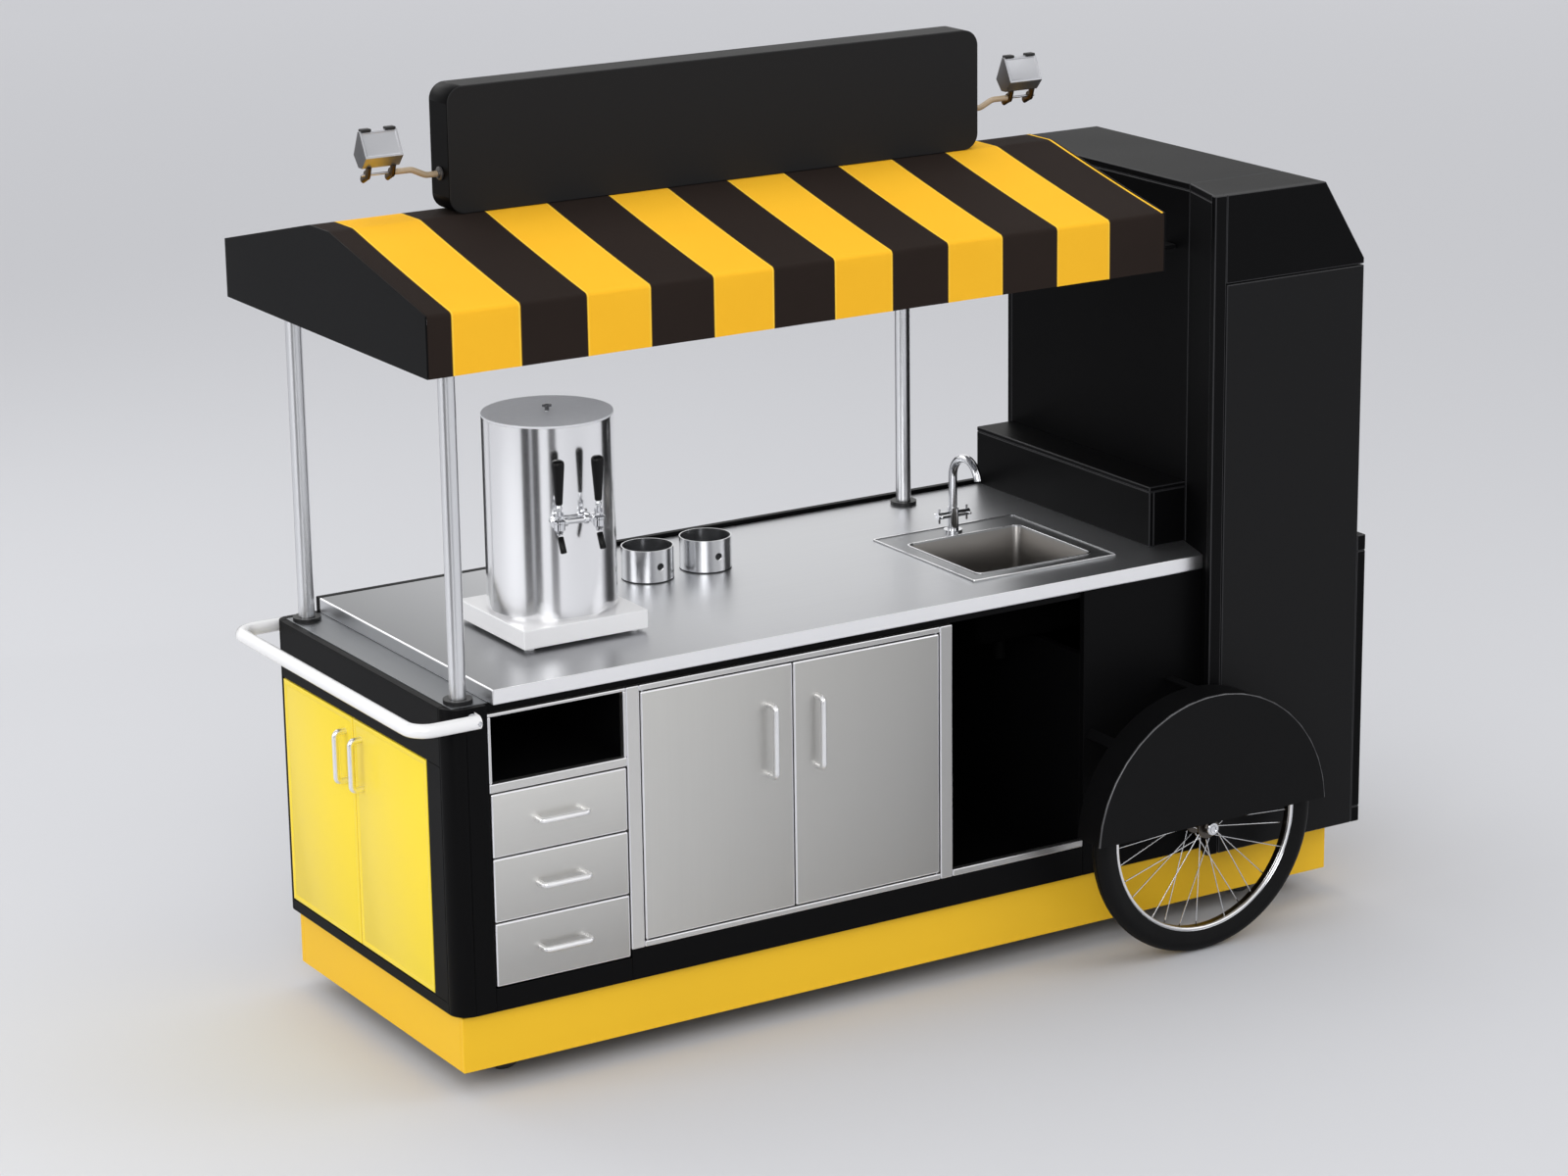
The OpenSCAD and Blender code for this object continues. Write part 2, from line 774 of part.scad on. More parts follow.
module end_door(y, pin_at, pull_at) {
  color("gold")
    translate([left_end, y, end_door_base])
      rotate([0, 0, -90])
        translate([-end_door_width, 0, 0]) {
          door_slab(end_door_width, end_door_height, pin_at);
          translate([pull_at, 0, end_door_height - end_pull_drop]) pull();
        }
}

module end_door_front() {
  end_door(end_y0, end_door_width - pivot_inset, pull_edge);
}

module end_door_back() {
  end_door(end_y1 - end_door_width, pivot_inset, end_door_width - pull_edge);
}

module end_hatch() {
  color([0.11, 0.11, 0.12])
    translate([right_end + hatch_proud, hatch_y0 + door_gap, hatch_z0 + door_gap])
      rotate([0, 0, 90]) {
        door_slab(hatch_width, hatch_height, hatch_width - pivot_inset);
        translate([pull_edge, 0, hatch_height / 2]) pull();
      }
}

// Pins that stand in the frames above and below each door
module pin_pair(x, y, z0, z1) {
  rod_z(x, y, z0 - door_gap, z0 + pin_depth - joint_gap, pivot_d);
  rod_z(x, y, z1 - pin_depth + joint_gap, z1 + door_gap, pivot_d);
}

module door_pivots() {
  color("dimgray") {
    for (x = [door_x0 + door_gap + pivot_inset, door_x1 - door_gap - pivot_inset])
      pin_pair(x, front + pivot_inset, front_door_base, door_top_z);
    for (y = [end_y0 + pivot_inset, end_y1 - pivot_inset])
      pin_pair(left_end + pivot_inset, y, end_door_base, end_top_z);
    pin_pair(right_end + hatch_proud - pivot_inset, hatch_y1 - door_gap - pivot_inset, hatch_z0 + door_gap,
             hatch_z1 - door_gap);
  }
}

// Drawers

module drawer_runners() {
  y0 = front + door_thick + door_gap;
  y1 = front + door_thick + drawer_depth;
  color("gray")
    for (i = [0 : 2]) {
      z = drawer_base + i * drawer_pitch + drawer_floor_lift + (drawer_box_height - runner_h) / 2;
      block(bay_x0, bay_x0 + runner_w, y0, y1, z, z + runner_h);
      block(bay_x1 - runner_w, bay_x1, y0, y1, z, z + runner_h);
    }
}

module drawer_box(i) {
  g = joint_gap;
  x0 = bay_x0 + runner_gap;
  x1 = bay_x1 - runner_gap;
  y0 = front + door_thick + g;
  y1 = y0 + drawer_depth;
  z0 = drawer_base + i * drawer_pitch + drawer_floor_lift;
  z1 = z0 + drawer_box_height;
  w = drawer_wall;
  color("burlywood") {
    block(x0, x1, y0, y1, z0, z0 + w);
    block(x0, x0 + w, y0, y1, z0 + w + g, z1);
    block(x1 - w, x1, y0, y1, z0 + w + g, z1);
    block(x0 + w + g, x1 - w - g, y0, y0 + w, z0 + w + g, z1);
    block(x0 + w + g, x1 - w - g, y1 - w, y1, z0 + w + g, z1);
  }
}

module drawer_front(i) {
  z0 = drawer_base + i * drawer_pitch;
  color("lightgray") {
    block(drawer_x0, drawer_x1, front, front + door_thick, z0, z0 + drawer_height);
    translate([(drawer_x0 + drawer_x1) / 2, front, z0 + drawer_height / 2]) rotate([0, 90, 0]) pull();
  }
}

// Counter, ledge and sink

module countertop() {
  x0 = left_end + ledge_length;
  y0 = front - counter_overhang;
  y1 = back - panel - joint_gap;
  wall = wall_x - joint_gap;
  hole = sink_sheet + bowl_clear;
  color("silver")
    difference() {
      translate([0, 0, ledge_top])
        linear_extrude(counter_edge)
          polygon([[x0, y0], [cheek_x(y0) - joint_gap, y0], [wall, tower_front + tower_return], [wall, y1],
                   [x0, y1]]);
      block(bowl_x0 - hole, bowl_x0 + bowl_length + hole, bowl_y0 - hole, bowl_y0 + bowl_depth + hole,
            ledge_top - over, counter_height + over);
    }
}

module end_ledge() {
  rim = ledge_rim + joint_gap;
  color("gray")
    block(left_end + rim, left_end + ledge_length + ledge_rim, front + rim, back - rim, ledge_top - ledge_plate,
          ledge_top);
}

// Round corner of the bowl, in three wedges, with its outer edges at the origin
module bowl_corner(h) {
  r = bowl_radius;
  s = sink_sheet;
  w = r + s;
  third = w * tan(30);
  cut = joint_gap / 2;
  linear_extrude(h)
    difference() {
      union() {
        polygon([[w, w], [0, w], [0, w - third + cut]]);
        polygon([[w, w], [0, w - third - cut], [0, 0], [w - third - cut, 0]]);
        polygon([[w, w], [w - third + cut, 0], [w, 0]]);
      }
      translate([w, w]) circle(r = r);
    }
}

// Pressed bowl in a rim of four strips
module sink_bowl() {
  s = sink_sheet;
  g = joint_gap;
  w = bowl_radius + g;
  x0 = bowl_x0;
  x1 = bowl_x0 + bowl_length;
  y0 = bowl_y0;
  y1 = bowl_y0 + bowl_depth;
  rim_x1 = sink_x0 + sink_length;
  rim_y1 = sink_y0 + sink_depth;
  low = bowl_bottom + g;
  color("silver") {
    // rim on the counter
    block(sink_x0, rim_x1, sink_y0, y0 - s - g, counter_height, deck_z);
    block(sink_x0, rim_x1, y1 + s + g, rim_y1, counter_height, deck_z);
    block(sink_x0, x0 - s - g, y0 - s, y1 + s, counter_height, deck_z);
    block(x1 + s + g, rim_x1, y0 - s, y1 + s, counter_height, deck_z);
    // straight walls
    block(x0 - s, x0, y0 + w, y1 - w, low, deck_z);
    block(x1, x1 + s, y0 + w, y1 - w, low, deck_z);
    block(x0 + w, x1 - w, y0 - s, y0, low, deck_z);
    block(x0 + w, x1 - w, y1, y1 + s, low, deck_z);
    // round corners
    translate([x0 - s, y0 - s, low]) bowl_corner(deck_z - low);
    translate([x1 + s, y0 - s, low]) rotate([0, 0, 90]) bowl_corner(deck_z - low);
    translate([x1 + s, y1 + s, low]) rotate([0, 0, 180]) bowl_corner(deck_z - low);
    translate([x0 - s, y1 + s, low]) rotate([0, 0, 270]) bowl_corner(deck_z - low);
    // floor with the waste hole
    difference() {
      block(x0 - s, x1 + s, y0 - s, y1 + s, bowl_bottom - s, bowl_bottom);
      rod_z(tap_x, y0 + bowl_depth / 2, bowl_bottom - s - over, bowl_bottom + over, waste_d);
    }
  }
}

module sink_waste() {
  lip_r = waste_d / 2 + 8;
  lip_z = joint_gap;
  lip_t = 1.5;
  cup_r = waste_d / 2 - joint_gap;
  cup_wall_t = 4;
  cup_low = -30;
  pipe_r = 20;
  pipe_wall = 4;
  neck_z = -40;
  pipe_low = -90;
  bore = pipe_r - pipe_wall;
  color("lightgray")
    translate([tap_x, bowl_y0 + bowl_depth / 2, bowl_bottom])
      rotate_extrude()
        polygon([[bore, pipe_low], [pipe_r, pipe_low], [pipe_r, neck_z], [cup_r, cup_low], [cup_r, lip_z],
                 [lip_r, lip_z], [lip_r, lip_z + lip_t], [cup_r - cup_wall_t, lip_z + lip_t],
                 [cup_r - cup_wall_t, cup_low + cup_wall_t], [bore, neck_z + pipe_wall]]);
}

module faucet_body() {
  color("lightgray")
    difference() {
      union() {
        rod_z(tap_x, tap_y, deck_z, deck_z + tap_flange_h, tap_flange_d);
        rod_z(tap_x, tap_y, deck_z, deck_z + tap_body_h, tap_body_d);
        rod_x(tap_x - valve_half, tap_x + valve_half, tap_y, valve_z, valve_d);
        rod_x(tap_x - valve_half - handle_l, tap_x + valve_half + handle_l, tap_y, valve_z, handle_pin_d);
      }
      translate([tap_x, tap_y, deck_z + tap_body_h - spigot_depth])
        cylinder(d = spigot_d + 2 * pin_play, h = spigot_depth + over);
    }
}

module faucet_spout() {
  seat = deck_z + tap_body_h + joint_gap;
  bend_z = deck_z + spout_rise;
  drop = 24;
  collar = 6;
  color("lightgray") {
    rod_z(tap_x, tap_y, seat - spigot_depth + over, seat + over, spigot_d);
    rod_z(tap_x, tap_y, seat, seat + collar, spout_d + collar);
    rod_z(tap_x, tap_y, seat, bend_z, spout_d);
    translate([tap_x, tap_y - spout_bend, bend_z])
      rotate([90, 0, 90])
        rotate_extrude(angle = 180) translate([spout_bend, 0]) circle(d = spout_d);
    rod_z(tap_x, tap_y - 2 * spout_bend, bend_z - drop, bend_z, spout_d);
  }
}

module faucet_handle(side) {
  arm = 19;
  arm_thick = 6;
  x0 = valve_half + joint_gap;
  x1 = x0 + handle_l;
  middle = (x0 + x1) / 2;
  color("lightgray")
    translate([tap_x, tap_y, valve_z])
      mirror([side < 0 ? 1 : 0, 0, 0])
        difference() {
          union() {
            rod_x(x0, x1, 0, 0, valve_d);
            rod_y(middle, -arm, arm, 0, arm_thick);
            rod_z(middle, 0, -arm, arm, arm_thick);
          }
          rod_x(x0 - over, x1 + over, 0, 0, handle_pin_d + 2 * pin_play);
        }
}

module splash_box() {
  g = joint_gap;
  t = splash_board;
  x0 = wall_x - splash_width;
  x1 = wall_x - g;
  y0 = front + splash_front;
  y1 = back - panel - g;
  z1 = counter_height + splash_height;
  color([0.11, 0.11, 0.12]) {
    block(x0, x1, y0, y1, z1 - t, z1);
    block(x0, x0 + t, y0, y1, counter_height, z1 - t - g);
    block(x0 + t + g, x1, y0, y0 + t, counter_height, z1 - t - g);
    block(x0 + t + g, x1, y1 - t, y1, counter_height, z1 - t - g);
  }
}

// Tower

module tower_carcass() {
  g = joint_gap;
  y0 = tower_front + panel + g;
  y1 = tower_front + tower_return;
  y2 = back - panel - g;
  slab = panel * norm([chamfer_width, chamfer_drop]) / chamfer_width;
  board = panel * norm([tower_recess, tower_return]) / tower_return;
  roof_z = tower_height - panel;
  wall_top = chamfer_z - slab - g;
  rx = right_end - panel;
  hx = right_end + hatch_proud;
  hatch_out_z = hatch_z0 - hatch_frame;
  hatch_out_y = hatch_y1 + hatch_frame;
  color([0.12, 0.12, 0.13]) {
    // left wall and its slanted return
    block(wall_x, wall_x + panel, y1 + g, y2, body_bottom, roof_z - g);
    translate([0, 0, body_bottom])
      linear_extrude(roof_z - g - body_bottom)
        polygon([[cheek_x(y0), y0], [cheek_x(y0) + board, y0], [wall_x + board, y1], [wall_x, y1]]);
    // back panel, roof and sloping board
    along_y(back - panel, back)
      polygon([[wall_x, body_bottom], [right_end, body_bottom], [right_end, chamfer_z],
               [chamfer_x, tower_height], [wall_x, tower_height]]);
    translate([0, 0, roof_z])
      linear_extrude(panel)
        polygon([[cheek_x(y0), y0], [chamfer_x, y0], [chamfer_x, y1], [wall_x, y1]]);
    block(wall_x, chamfer_x, y1 + g, y2, roof_z, tower_height);
    along_y(y0, y2)
      polygon([[chamfer_x + g, tower_height], [right_end, chamfer_z], [right_end, chamfer_z - slab],
               [chamfer_x + g, tower_height - slab]]);
    // floor
    block(wall_x + board + g, rx - g, y0, y2, body_bottom, floor_top);
    // right wall round the hatch opening
    block(rx, right_end, y0, y2, body_bottom, hatch_z0);
    block(rx, right_end, y0, y2, hatch_z1, wall_top);
    block(rx, right_end, y0, hatch_y0, hatch_z0 + g, hatch_z1 - g);
    block(rx, right_end, hatch_y1, y2, hatch_z0 + g, hatch_z1 - g);
    // proud frame round the hatch
    block(right_end + g, hx, tower_front, hatch_out_y, hatch_out_z, hatch_z0);
    block(right_end + g, hx, tower_front, hatch_out_y, hatch_z1, hatch_top);
    block(right_end + g, hx, tower_front, hatch_y0, hatch_z0 + g, hatch_z1 - g);
    block(right_end + g, hx, hatch_y1, hatch_out_y, hatch_z0 + g, hatch_z1 - g);
  }
}

module tower_front_frame() {
  x1 = stile_x + front_stile;
  z0 = front_panel_z + door_gap;
  color([0.13, 0.13, 0.14]) {
    block(stile_x, x1, tower_front, tower_front + panel, body_bottom, tower_height);
    along_y(tower_front, tower_front + panel)
      polygon([[x1 + joint_gap, z0], [right_end, z0], [right_end, chamfer_z], [chamfer_x, tower_height],
               [x1 + joint_gap, tower_height]]);
  }
}

module tower_front_panel() {
  color([0.13, 0.13, 0.14])
    block(stile_x + front_stile + door_gap, right_end, tower_front, tower_front + panel, body_bottom,
          front_panel_z);
}

// Canopy

module canopy_posts() {
  color("silver")
    for (p = post_xy)
      difference() {
        rod_z(p[0], p[1], p[2], canopy_bottom, post_d);
        rod_z(p[0], p[1], p[2] - over, canopy_bottom + over, post_d - 2 * post_wall);
      }
  color([0.1, 0.1, 0.1])
    for (p = post_xy)
      difference() {
        rod_z(p[0], p[1], p[2], p[2] + flange_h, flange_d);
        rod_z(p[0], p[1], p[2] - over, p[2] + flange_h + over, post_d + 2 * joint_gap);
      }
}

module canopy_frame() {
  g = joint_gap;
  t = canopy_tube;
  inner = frame_y - t - g;
  ridge_y = ridge_flat / 2 - t / 2;
  ridge_low = ridge_z - cloth - g - t;
  slope = atan2(ridge_rise, eave_y - ridge_flat / 2);
  rafter = (eave_y - ridge_flat / 2) / cos(slope) - 2 * t;
  rafter_w = 16;
  rafter_h = 16;
  rafter_gap = cloth + 1;
  ends = [frame_x0 + t / 2, post_xy[0][0], post_xy[2][0], frame_x1 - t / 2];
  color("gray") {
    for (s = [-1, 1]) {
      translate([0, s * (frame_y - t / 2), canopy_bottom]) block(frame_x0, frame_x1, -t / 2, t / 2, 0, t);
      translate([0, s * ridge_y, ridge_low]) block(frame_x0, frame_x1, -t / 2 + g, t / 2 - g, 0, t);
      // rafters under the cloth
      for (x = ends)
        translate([x - rafter_w / 2, s * eave_y, valance_top])
          rotate([s * -slope + (s > 0 ? 180 : 0), 0, 0])
            translate([0, t, s > 0 ? rafter_gap : -rafter_gap - rafter_h]) cube([rafter_w, rafter, rafter_h]);
      // uprights between the eave rails and the valance corners
      for (x = ends)
        translate([x, s * (frame_y - t / 2), 0])
          block(-rafter_w / 2, rafter_w / 2, -t / 2, t / 2, frame_top + g, valance_top - t);
    }
    for (x = ends) block(x - t / 2, x + t / 2, -inner, inner, canopy_bottom, frame_top);
    // ties to the tower wall
    for (y = [-eave_y / 2, eave_y / 2])
      translate([0, y, canopy_bottom - g])
        block(post_xy[2][0] - tie_w, wall_x, -tie_w / 2, tie_w / 2, -tie_t, 0);
  }
}

// Corner points of the cloth from the front hem over the ridge to the back hem, drawn in by d
function cloth_points(d) =
  let (slope = atan2(ridge_rise, eave_y - ridge_flat / 2),
       eave_in = d * tan(45 - slope / 2),
       ridge_in = d * tan(slope / 2),
       y = eave_y - d,
       eave_z = valance_top - eave_in,
       ridge_y = ridge_flat / 2 - ridge_in)
  [[-y, canopy_bottom], [-y, eave_z], [-ridge_y, ridge_z - d], [ridge_y, ridge_z - d], [y, eave_z],
   [y, canopy_bottom]];

function step_in(a, b, d) = a + (b - a) * d / norm(b - a);

module canopy_cover() {
  outer = cloth_points(0);
  inner = cloth_points(cloth);
  half = joint_gap / 2;
  color([0.98, 0.78, 0.2])
    along_x(canopy_x0 + cloth + joint_gap, canopy_x1 - cloth - joint_gap)
      for (i = [0 : 4])
        polygon([step_in(outer[i], outer[i + 1], half), step_in(outer[i + 1], outer[i], half),
                 step_in(inner[i + 1], inner[i], half), step_in(inner[i], inner[i + 1], half)]);
}

module canopy_gables() {
  color([0.11, 0.11, 0.12])
    for (x = [canopy_x0, canopy_x1 - cloth])
      along_x(x, x + cloth) polygon(cloth_points(0));
}

// Sign and lights

module sign_frame() {
  half = sign_thick / 2 - sign_face;
  w = sign_wall;
  color([0.12, 0.12, 0.13])
    along_y(-half, half)
      translate([sign_x - sign_length / 2, sign_z])
        difference() {
          round_outline(sign_length, sign_height, sign_radius);
          translate([w, w]) round_outline(sign_length - 2 * w, sign_height - 2 * w, sign_radius - w);
        }
}

module sign_panels() {
  color([0.12, 0.12, 0.13])
    for (y = [-sign_thick / 2, sign_thick / 2 - sign_face])
      along_y(y, y + sign_face)
        translate([sign_x - sign_length / 2, sign_z]) round_outline(sign_length, sign_height, sign_radius);
}

module light_arms() {
  flange_w = 6;
  end = sign_length / 2;
  stop = lug_at + lug_w / 2 + joint_gap;
  color("tan")
    for (s = [-1, 1])
      translate([sign_x, 0, head_z])
        mirror([s < 0 ? 1 : 0, 0, 0]) {
          rod_x(end, end + flange_w, 0, 0, 3 * arm_d);
          rod_x(end, end + arm_length - stop, 0, 0, arm_d);
          rod_x(end, end + arm_length + stop + lug_w, 0, 0, tilt_pin_d);
        }
}

module light_head(x) {
  low = head_rise - head_half;
  top = low + head_top;
  color("silver")
    translate([x, 0, head_z])
      difference() {
        union() {
          along_x(-head_w / 2, head_w / 2)
            polygon([[-head_front, low + head_toe], [-head_heel, low], [head_sole, low],
                     [head_back, low + head_shoulder], [head_crown_back, top], [-head_crown_front, top]]);
          for (s = [-1, 1])
            translate([s * lug_at - lug_w / 2, 0, 0]) {
              rod_x(0, lug_w, 0, 0, lug_d);
              block(0, lug_w, -lug_d / 2, lug_d / 2, 0, low + over);
            }
        }
        rod_x(-head_w, head_w, 0, 0, tilt_pin_d + 2 * pin_play);
      }
}

// Push handle

module push_handle() {
  x = left_end - handle_reach;
  y = back + handle_clear + handle_d / 2;
  stud_margin = 3;
  tube_tail = 6;
  stud_x = left_end + corner_radius + handle_stud_d / 2 + stud_margin;
  tube_end = stud_x + tube_tail;
  color("white")
    translate([0, 0, handle_z]) {
      rod_y(x, -y + handle_bend, y - handle_bend, 0, handle_d);
      for (s = [-1, 1]) {
        translate([x + handle_bend, s * (y - handle_bend), 0])
          rotate([0, 0, s > 0 ? 90 : 180])
            rotate_extrude(angle = 90) translate([handle_bend, 0]) circle(d = handle_d);
        rod_x(x + handle_bend, tube_end, s * y, 0, handle_d);
        translate([tube_end, s * y, 0]) sphere(d = handle_d);
        rod_y(stud_x, s > 0 ? back : -y, s > 0 ? y : front, 0, handle_stud_d);
      }
    }
}

// Big wheels; out = -1 for the front wheel and 1 for the back wheel

module on_axle(out) {
  translate([wheel_x, out * back, wheel_z]) rotate([-90 * out, 0, 0]) children();
}

module wheel_axles() {
  nut_at = wheel_offset + hub_w / 2 + joint_gap;
  color("silver")
    for (out = [-1, 1])
      on_axle(out) {
        cylinder(d = axle_flange_d, h = axle_flange_w);
        cylinder(d = axle_d, h = nut_at + nut_w + axle_tail);
        cylinder(d = spacer_d, h = wheel_offset - hub_w / 2 - joint_gap);
        difference() {
          translate([0, 0, nut_at]) cylinder(d = nut_d, h = nut_w, $fn = 6);
          translate([0, 0, nut_at - over]) cylinder(d = axle_d + 2 * joint_gap, h = nut_w + 2 * over);
        }
      }
}

// Spoke number i from the hub flange to the rim; even ones stand on the outer side, and each pair leans
// both ways round the hub, side by side where they cross
module spoke(i) {
  s = i % 2 == 0 ? 1 : -1;
  lean = floor(i / 2) % 2 == 0 ? 1 : -1;
  a = 360 * i / spoke_count;
  b = a + lean * spoke_lead;
  r0 = hub_flange_d / 2 + spoke_d / 2;
  r1 = rim_inner - spoke_end_gap;
  p = [r0 * cos(a), r0 * sin(a), s * (hub_flange_at + lean * spoke_side)];
  q = [r1 * cos(b), r1 * sin(b), s * (spoke_at + lean * spoke_side)];
  d = q - p;
  translate(p)
    rotate([0, acos(d[2] / norm(d)), atan2(d[1], d[0])]) cylinder(d = spoke_d, h = norm(d), $fn = 16);
}

module wheel(out) {
  color("silver")
    on_axle(out)
      translate([0, 0, wheel_offset]) {
        difference() {
          union() {
            cylinder(d = hub_d, h = hub_w, center = true);
            for (s = [-1, 1])
              translate([0, 0, s * hub_flange_at])
                cylinder(d = hub_flange_d, h = hub_flange_w, center = true);
          }
          cylinder(d = axle_d + 2 * pin_play, h = hub_w + 2 * over, center = true);
        }
        rotate_extrude()
          polygon([[rim_inner, -rim_w / 4], [rim_inner + rim_lip, -rim_w / 2], [rim_outer, -rim_w / 2],
                   [rim_outer, rim_w / 2], [rim_inner + rim_lip, rim_w / 2], [rim_inner, rim_w / 4]]);
        for (i = [0 : spoke_count - 1]) spoke(i);
      }
}

module tyre(out) {
  color([0.08, 0.08, 0.08])
    on_axle(out)
      translate([0, 0, wheel_offset])
        rotate_extrude()
          intersection() {
            translate([wheel_d / 2 - tyre_w / 2, 0]) circle(d = tyre_w);
            translate([rim_outer + joint_gap, -tyre_w]) square([tyre_w * 2, tyre_w * 2]);
          }
}

// Half drum over the wheel, held to the body by three tabs of its rim
module fender_drum() {
  r = fender_r + fender_skin;
  tab_w = 26;
  gap_depth = fender_reach - fender_depth;
  difference() {
    cylinder(r = r, h = fender_reach, $fn = 128);
    translate([0, 0, -over]) cylinder(r = fender_r, h = fender_reach - fender_skin + over, $fn = 128);
    translate([0, 0, -over])
      difference() {
        cylinder(r = r + over, h = gap_depth + over);
        for (a = [45, 90, 135])
          rotate([0, 0, a]) translate([0, -tab_w / 2, 0]) cube([r + 2 * over, tab_w, gap_depth + over]);
      }
  }
}

module wheel_fenders() {
  far = fender_r + 2 * fender_skin;
  low = wheel_z - far;
  color([0.11, 0.11, 0.12])
    for (out = [-1, 1])
      difference() {
        on_axle(out) rotate([0, 0, out < 0 ? 0 : 180]) fender_drum();
        translate([wheel_x, 0, 0])
          block(-far, far, front - 2 * fender_reach, back + 2 * fender_reach, low, wheel_z + fender_cut);
        block(stile_x, wheel_x + far, tower_front, back, low, wheel_z + far);
      }
}

// Urn, taps and cups

module urn_base() {
  x = urn_base_length / 2;
  y = urn_base_depth / 2;
  foot_in = 26;
  foot_d = 24;
  color("whitesmoke")
    translate([urn_cx, urn_cy, counter_height]) {
      block(-x, x, -y, y, urn_foot, urn_foot + urn_base_thick);
      for (sx = [-1, 1], sy = [-1, 1])
        rod_z(sx * (x - foot_in), sy * (y - foot_in), 0, urn_foot - joint_gap, foot_d);
    }
}

module urn_body() {
  r = urn_d / 2;
  w = urn_wall;
  ring_in = 14;
  ring_out_r = r - ring_in + w;
  ring_r = r - ring_in - w;
  low = urn_foot_rise;
  color("silver")
    translate([urn_cx, urn_cy, urn_z])
      rotate_extrude()
        polygon([[0, low], [ring_r, low], [ring_r, 0], [ring_out_r, 0], [ring_out_r, low], [r, low],
                 [r, urn_height], [r - w, urn_height], [r - w, low + w], [0, low + w]]);
}

module urn_lid() {
  r = urn_d / 2;
  skirt_gap = 1;
  skirt_t = 2;
  plate = 5;
  neck_r = 5;
  knob_r = 11;
  knob_low = plate + 9;
  knob_edge = 2;
  knob_top = plate + 17;
  fit = r - urn_wall - skirt_gap;
  color("silver")
    translate([urn_cx, urn_cy, urn_top + joint_gap])
      rotate_extrude()
        polygon([[0, 0], [fit - skirt_t, 0], [fit - skirt_t, -urn_skirt], [fit, -urn_skirt], [fit, 0], [r, 0],
                 [r, plate], [neck_r, plate], [neck_r, knob_low], [knob_r, knob_low + knob_edge],
                 [knob_r, knob_top - knob_edge], [0, knob_top]]);
}

module urn_taps() {
  shank_d = 14;
  shank_z = -30;
  tap_d = 20;
  body_top = -9;
  body_low = -52;
  cheek_half = 6;
  pipe_d = 11;
  nozzle_d = 13;
  nozzle_l = 46;
  nozzle_tilt = 20;
  wall_y = -sqrt(pow(urn_d / 2, 2) - pow(tap_side - shank_d / 2, 2)) - joint_gap;
  y = -tap_reach;
  color("lightgray")
    translate([urn_cx, urn_cy, lever_z]) rotate([0, 0, -tap_turn]) {
      for (s = [-1, 1])
        translate([s * tap_side, 0, 0]) {
          rod_y(0, y, wall_y, shank_z, shank_d);
          rod_z(0, y, body_low, body_top, tap_d);
          for (c = [-1, 1])
            translate([c * (cheek_in + cheek_t / 2), y, 0])
              block(-cheek_t / 2, cheek_t / 2, -cheek_half, cheek_half, body_top - over, cheek_half);
          rod_x(-cheek_in - cheek_t, cheek_in + cheek_t, y, 0, lever_pin_d);
          translate([0, y, body_low])
            rotate([-nozzle_tilt, 0, 0])
              translate([0, 0, -nozzle_l + nozzle_d / 2]) cylinder(d = nozzle_d, h = nozzle_l);
        }
      rod_x(-tap_side, tap_side, (wall_y + y) / 2, shank_z, pipe_d);
    }
}

module tap_lever(side) {
  hub = 14;
  hub_l = 2 * (cheek_in - joint_gap);
  stem = 22;
  low = 7;
  top = 13;
  rim = 3;
  crown = 8;
  edge = 12;
  color([0.05, 0.05, 0.05])
    translate([urn_cx, urn_cy, lever_z]) rotate([0, 0, -tap_turn]) translate([side * tap_side, -tap_reach, 0])
      difference() {
        union() {
          rod_x(-hub_l / 2, hub_l / 2, 0, 0, hub);
          rod_z(0, 0, 0, stem + over, hub_l);
          translate([0, 0, stem])
            rotate_extrude()
              polygon([[0, 0], [low, 0], [top, lever_grip - edge], [top - rim, lever_grip - rim],
                       [top - crown, lever_grip], [0, lever_grip]]);
        }
        rod_x(-hub_l, hub_l, 0, 0, lever_pin_d + 2 * pin_play);
      }
}

module cup_rings() {
  r = cup_d / 2;
  w = cup_wall;
  hole = 18;
  color("silver")
    for (i = [0, 1])
      translate([left_end + cup_x + i * cup_pitch, front + cup_y, counter_height])
        difference() {
          rotate_extrude()
            polygon([[0, 0], [r, 0], [r, cup_height], [r - w, cup_height], [r - w, w], [0, w]]);
          rod_y(0, -cup_d, 0, cup_height / 2, hole);
        }
}

chassis_frame();
plinth_skirt();
swivel_fork(-1);  // swivel_fork_front
swivel_fork(1);  // swivel_fork_back
fixed_caster_forks();
caster_wheel(caster_x[0], -1);  // caster_wheel_front_left
caster_wheel(caster_x[0], 1);  // caster_wheel_back_left
caster_wheel(caster_x[1], -1);  // caster_wheel_front_right
caster_wheel(caster_x[1], 1);  // caster_wheel_back_right
carcass_panels();
left_end_frame();
front_face_frame();
end_door_front();
end_door_back();
cabinet_door_left();
cabinet_door_right();
door_pivots();
drawer_runners();
drawer_box(0);  // drawer_box_lower
drawer_box(1);  // drawer_box_middle
drawer_box(2);  // drawer_box_upper
drawer_front(0);  // drawer_front_lower
drawer_front(1);  // drawer_front_middle
drawer_front(2);  // drawer_front_upper
countertop();
end_ledge();
sink_bowl();
sink_waste();
faucet_body();
faucet_spout();
faucet_handle(-1);  // faucet_handle_left
faucet_handle(1);  // faucet_handle_right
splash_box();
tower_carcass();
tower_front_frame();
tower_front_panel();
end_hatch();
canopy_posts();
canopy_frame();
canopy_cover();
canopy_gables();
sign_frame();
sign_panels();
light_arms();
light_head(head_x[0]);  // light_head_left
light_head(head_x[1]);  // light_head_right
push_handle();
wheel_axles();
wheel(-1);  // wheel_front
wheel(1);  // wheel_back
tyre(-1);  // tyre_front
tyre(1);  // tyre_back
wheel_fenders();
urn_base();
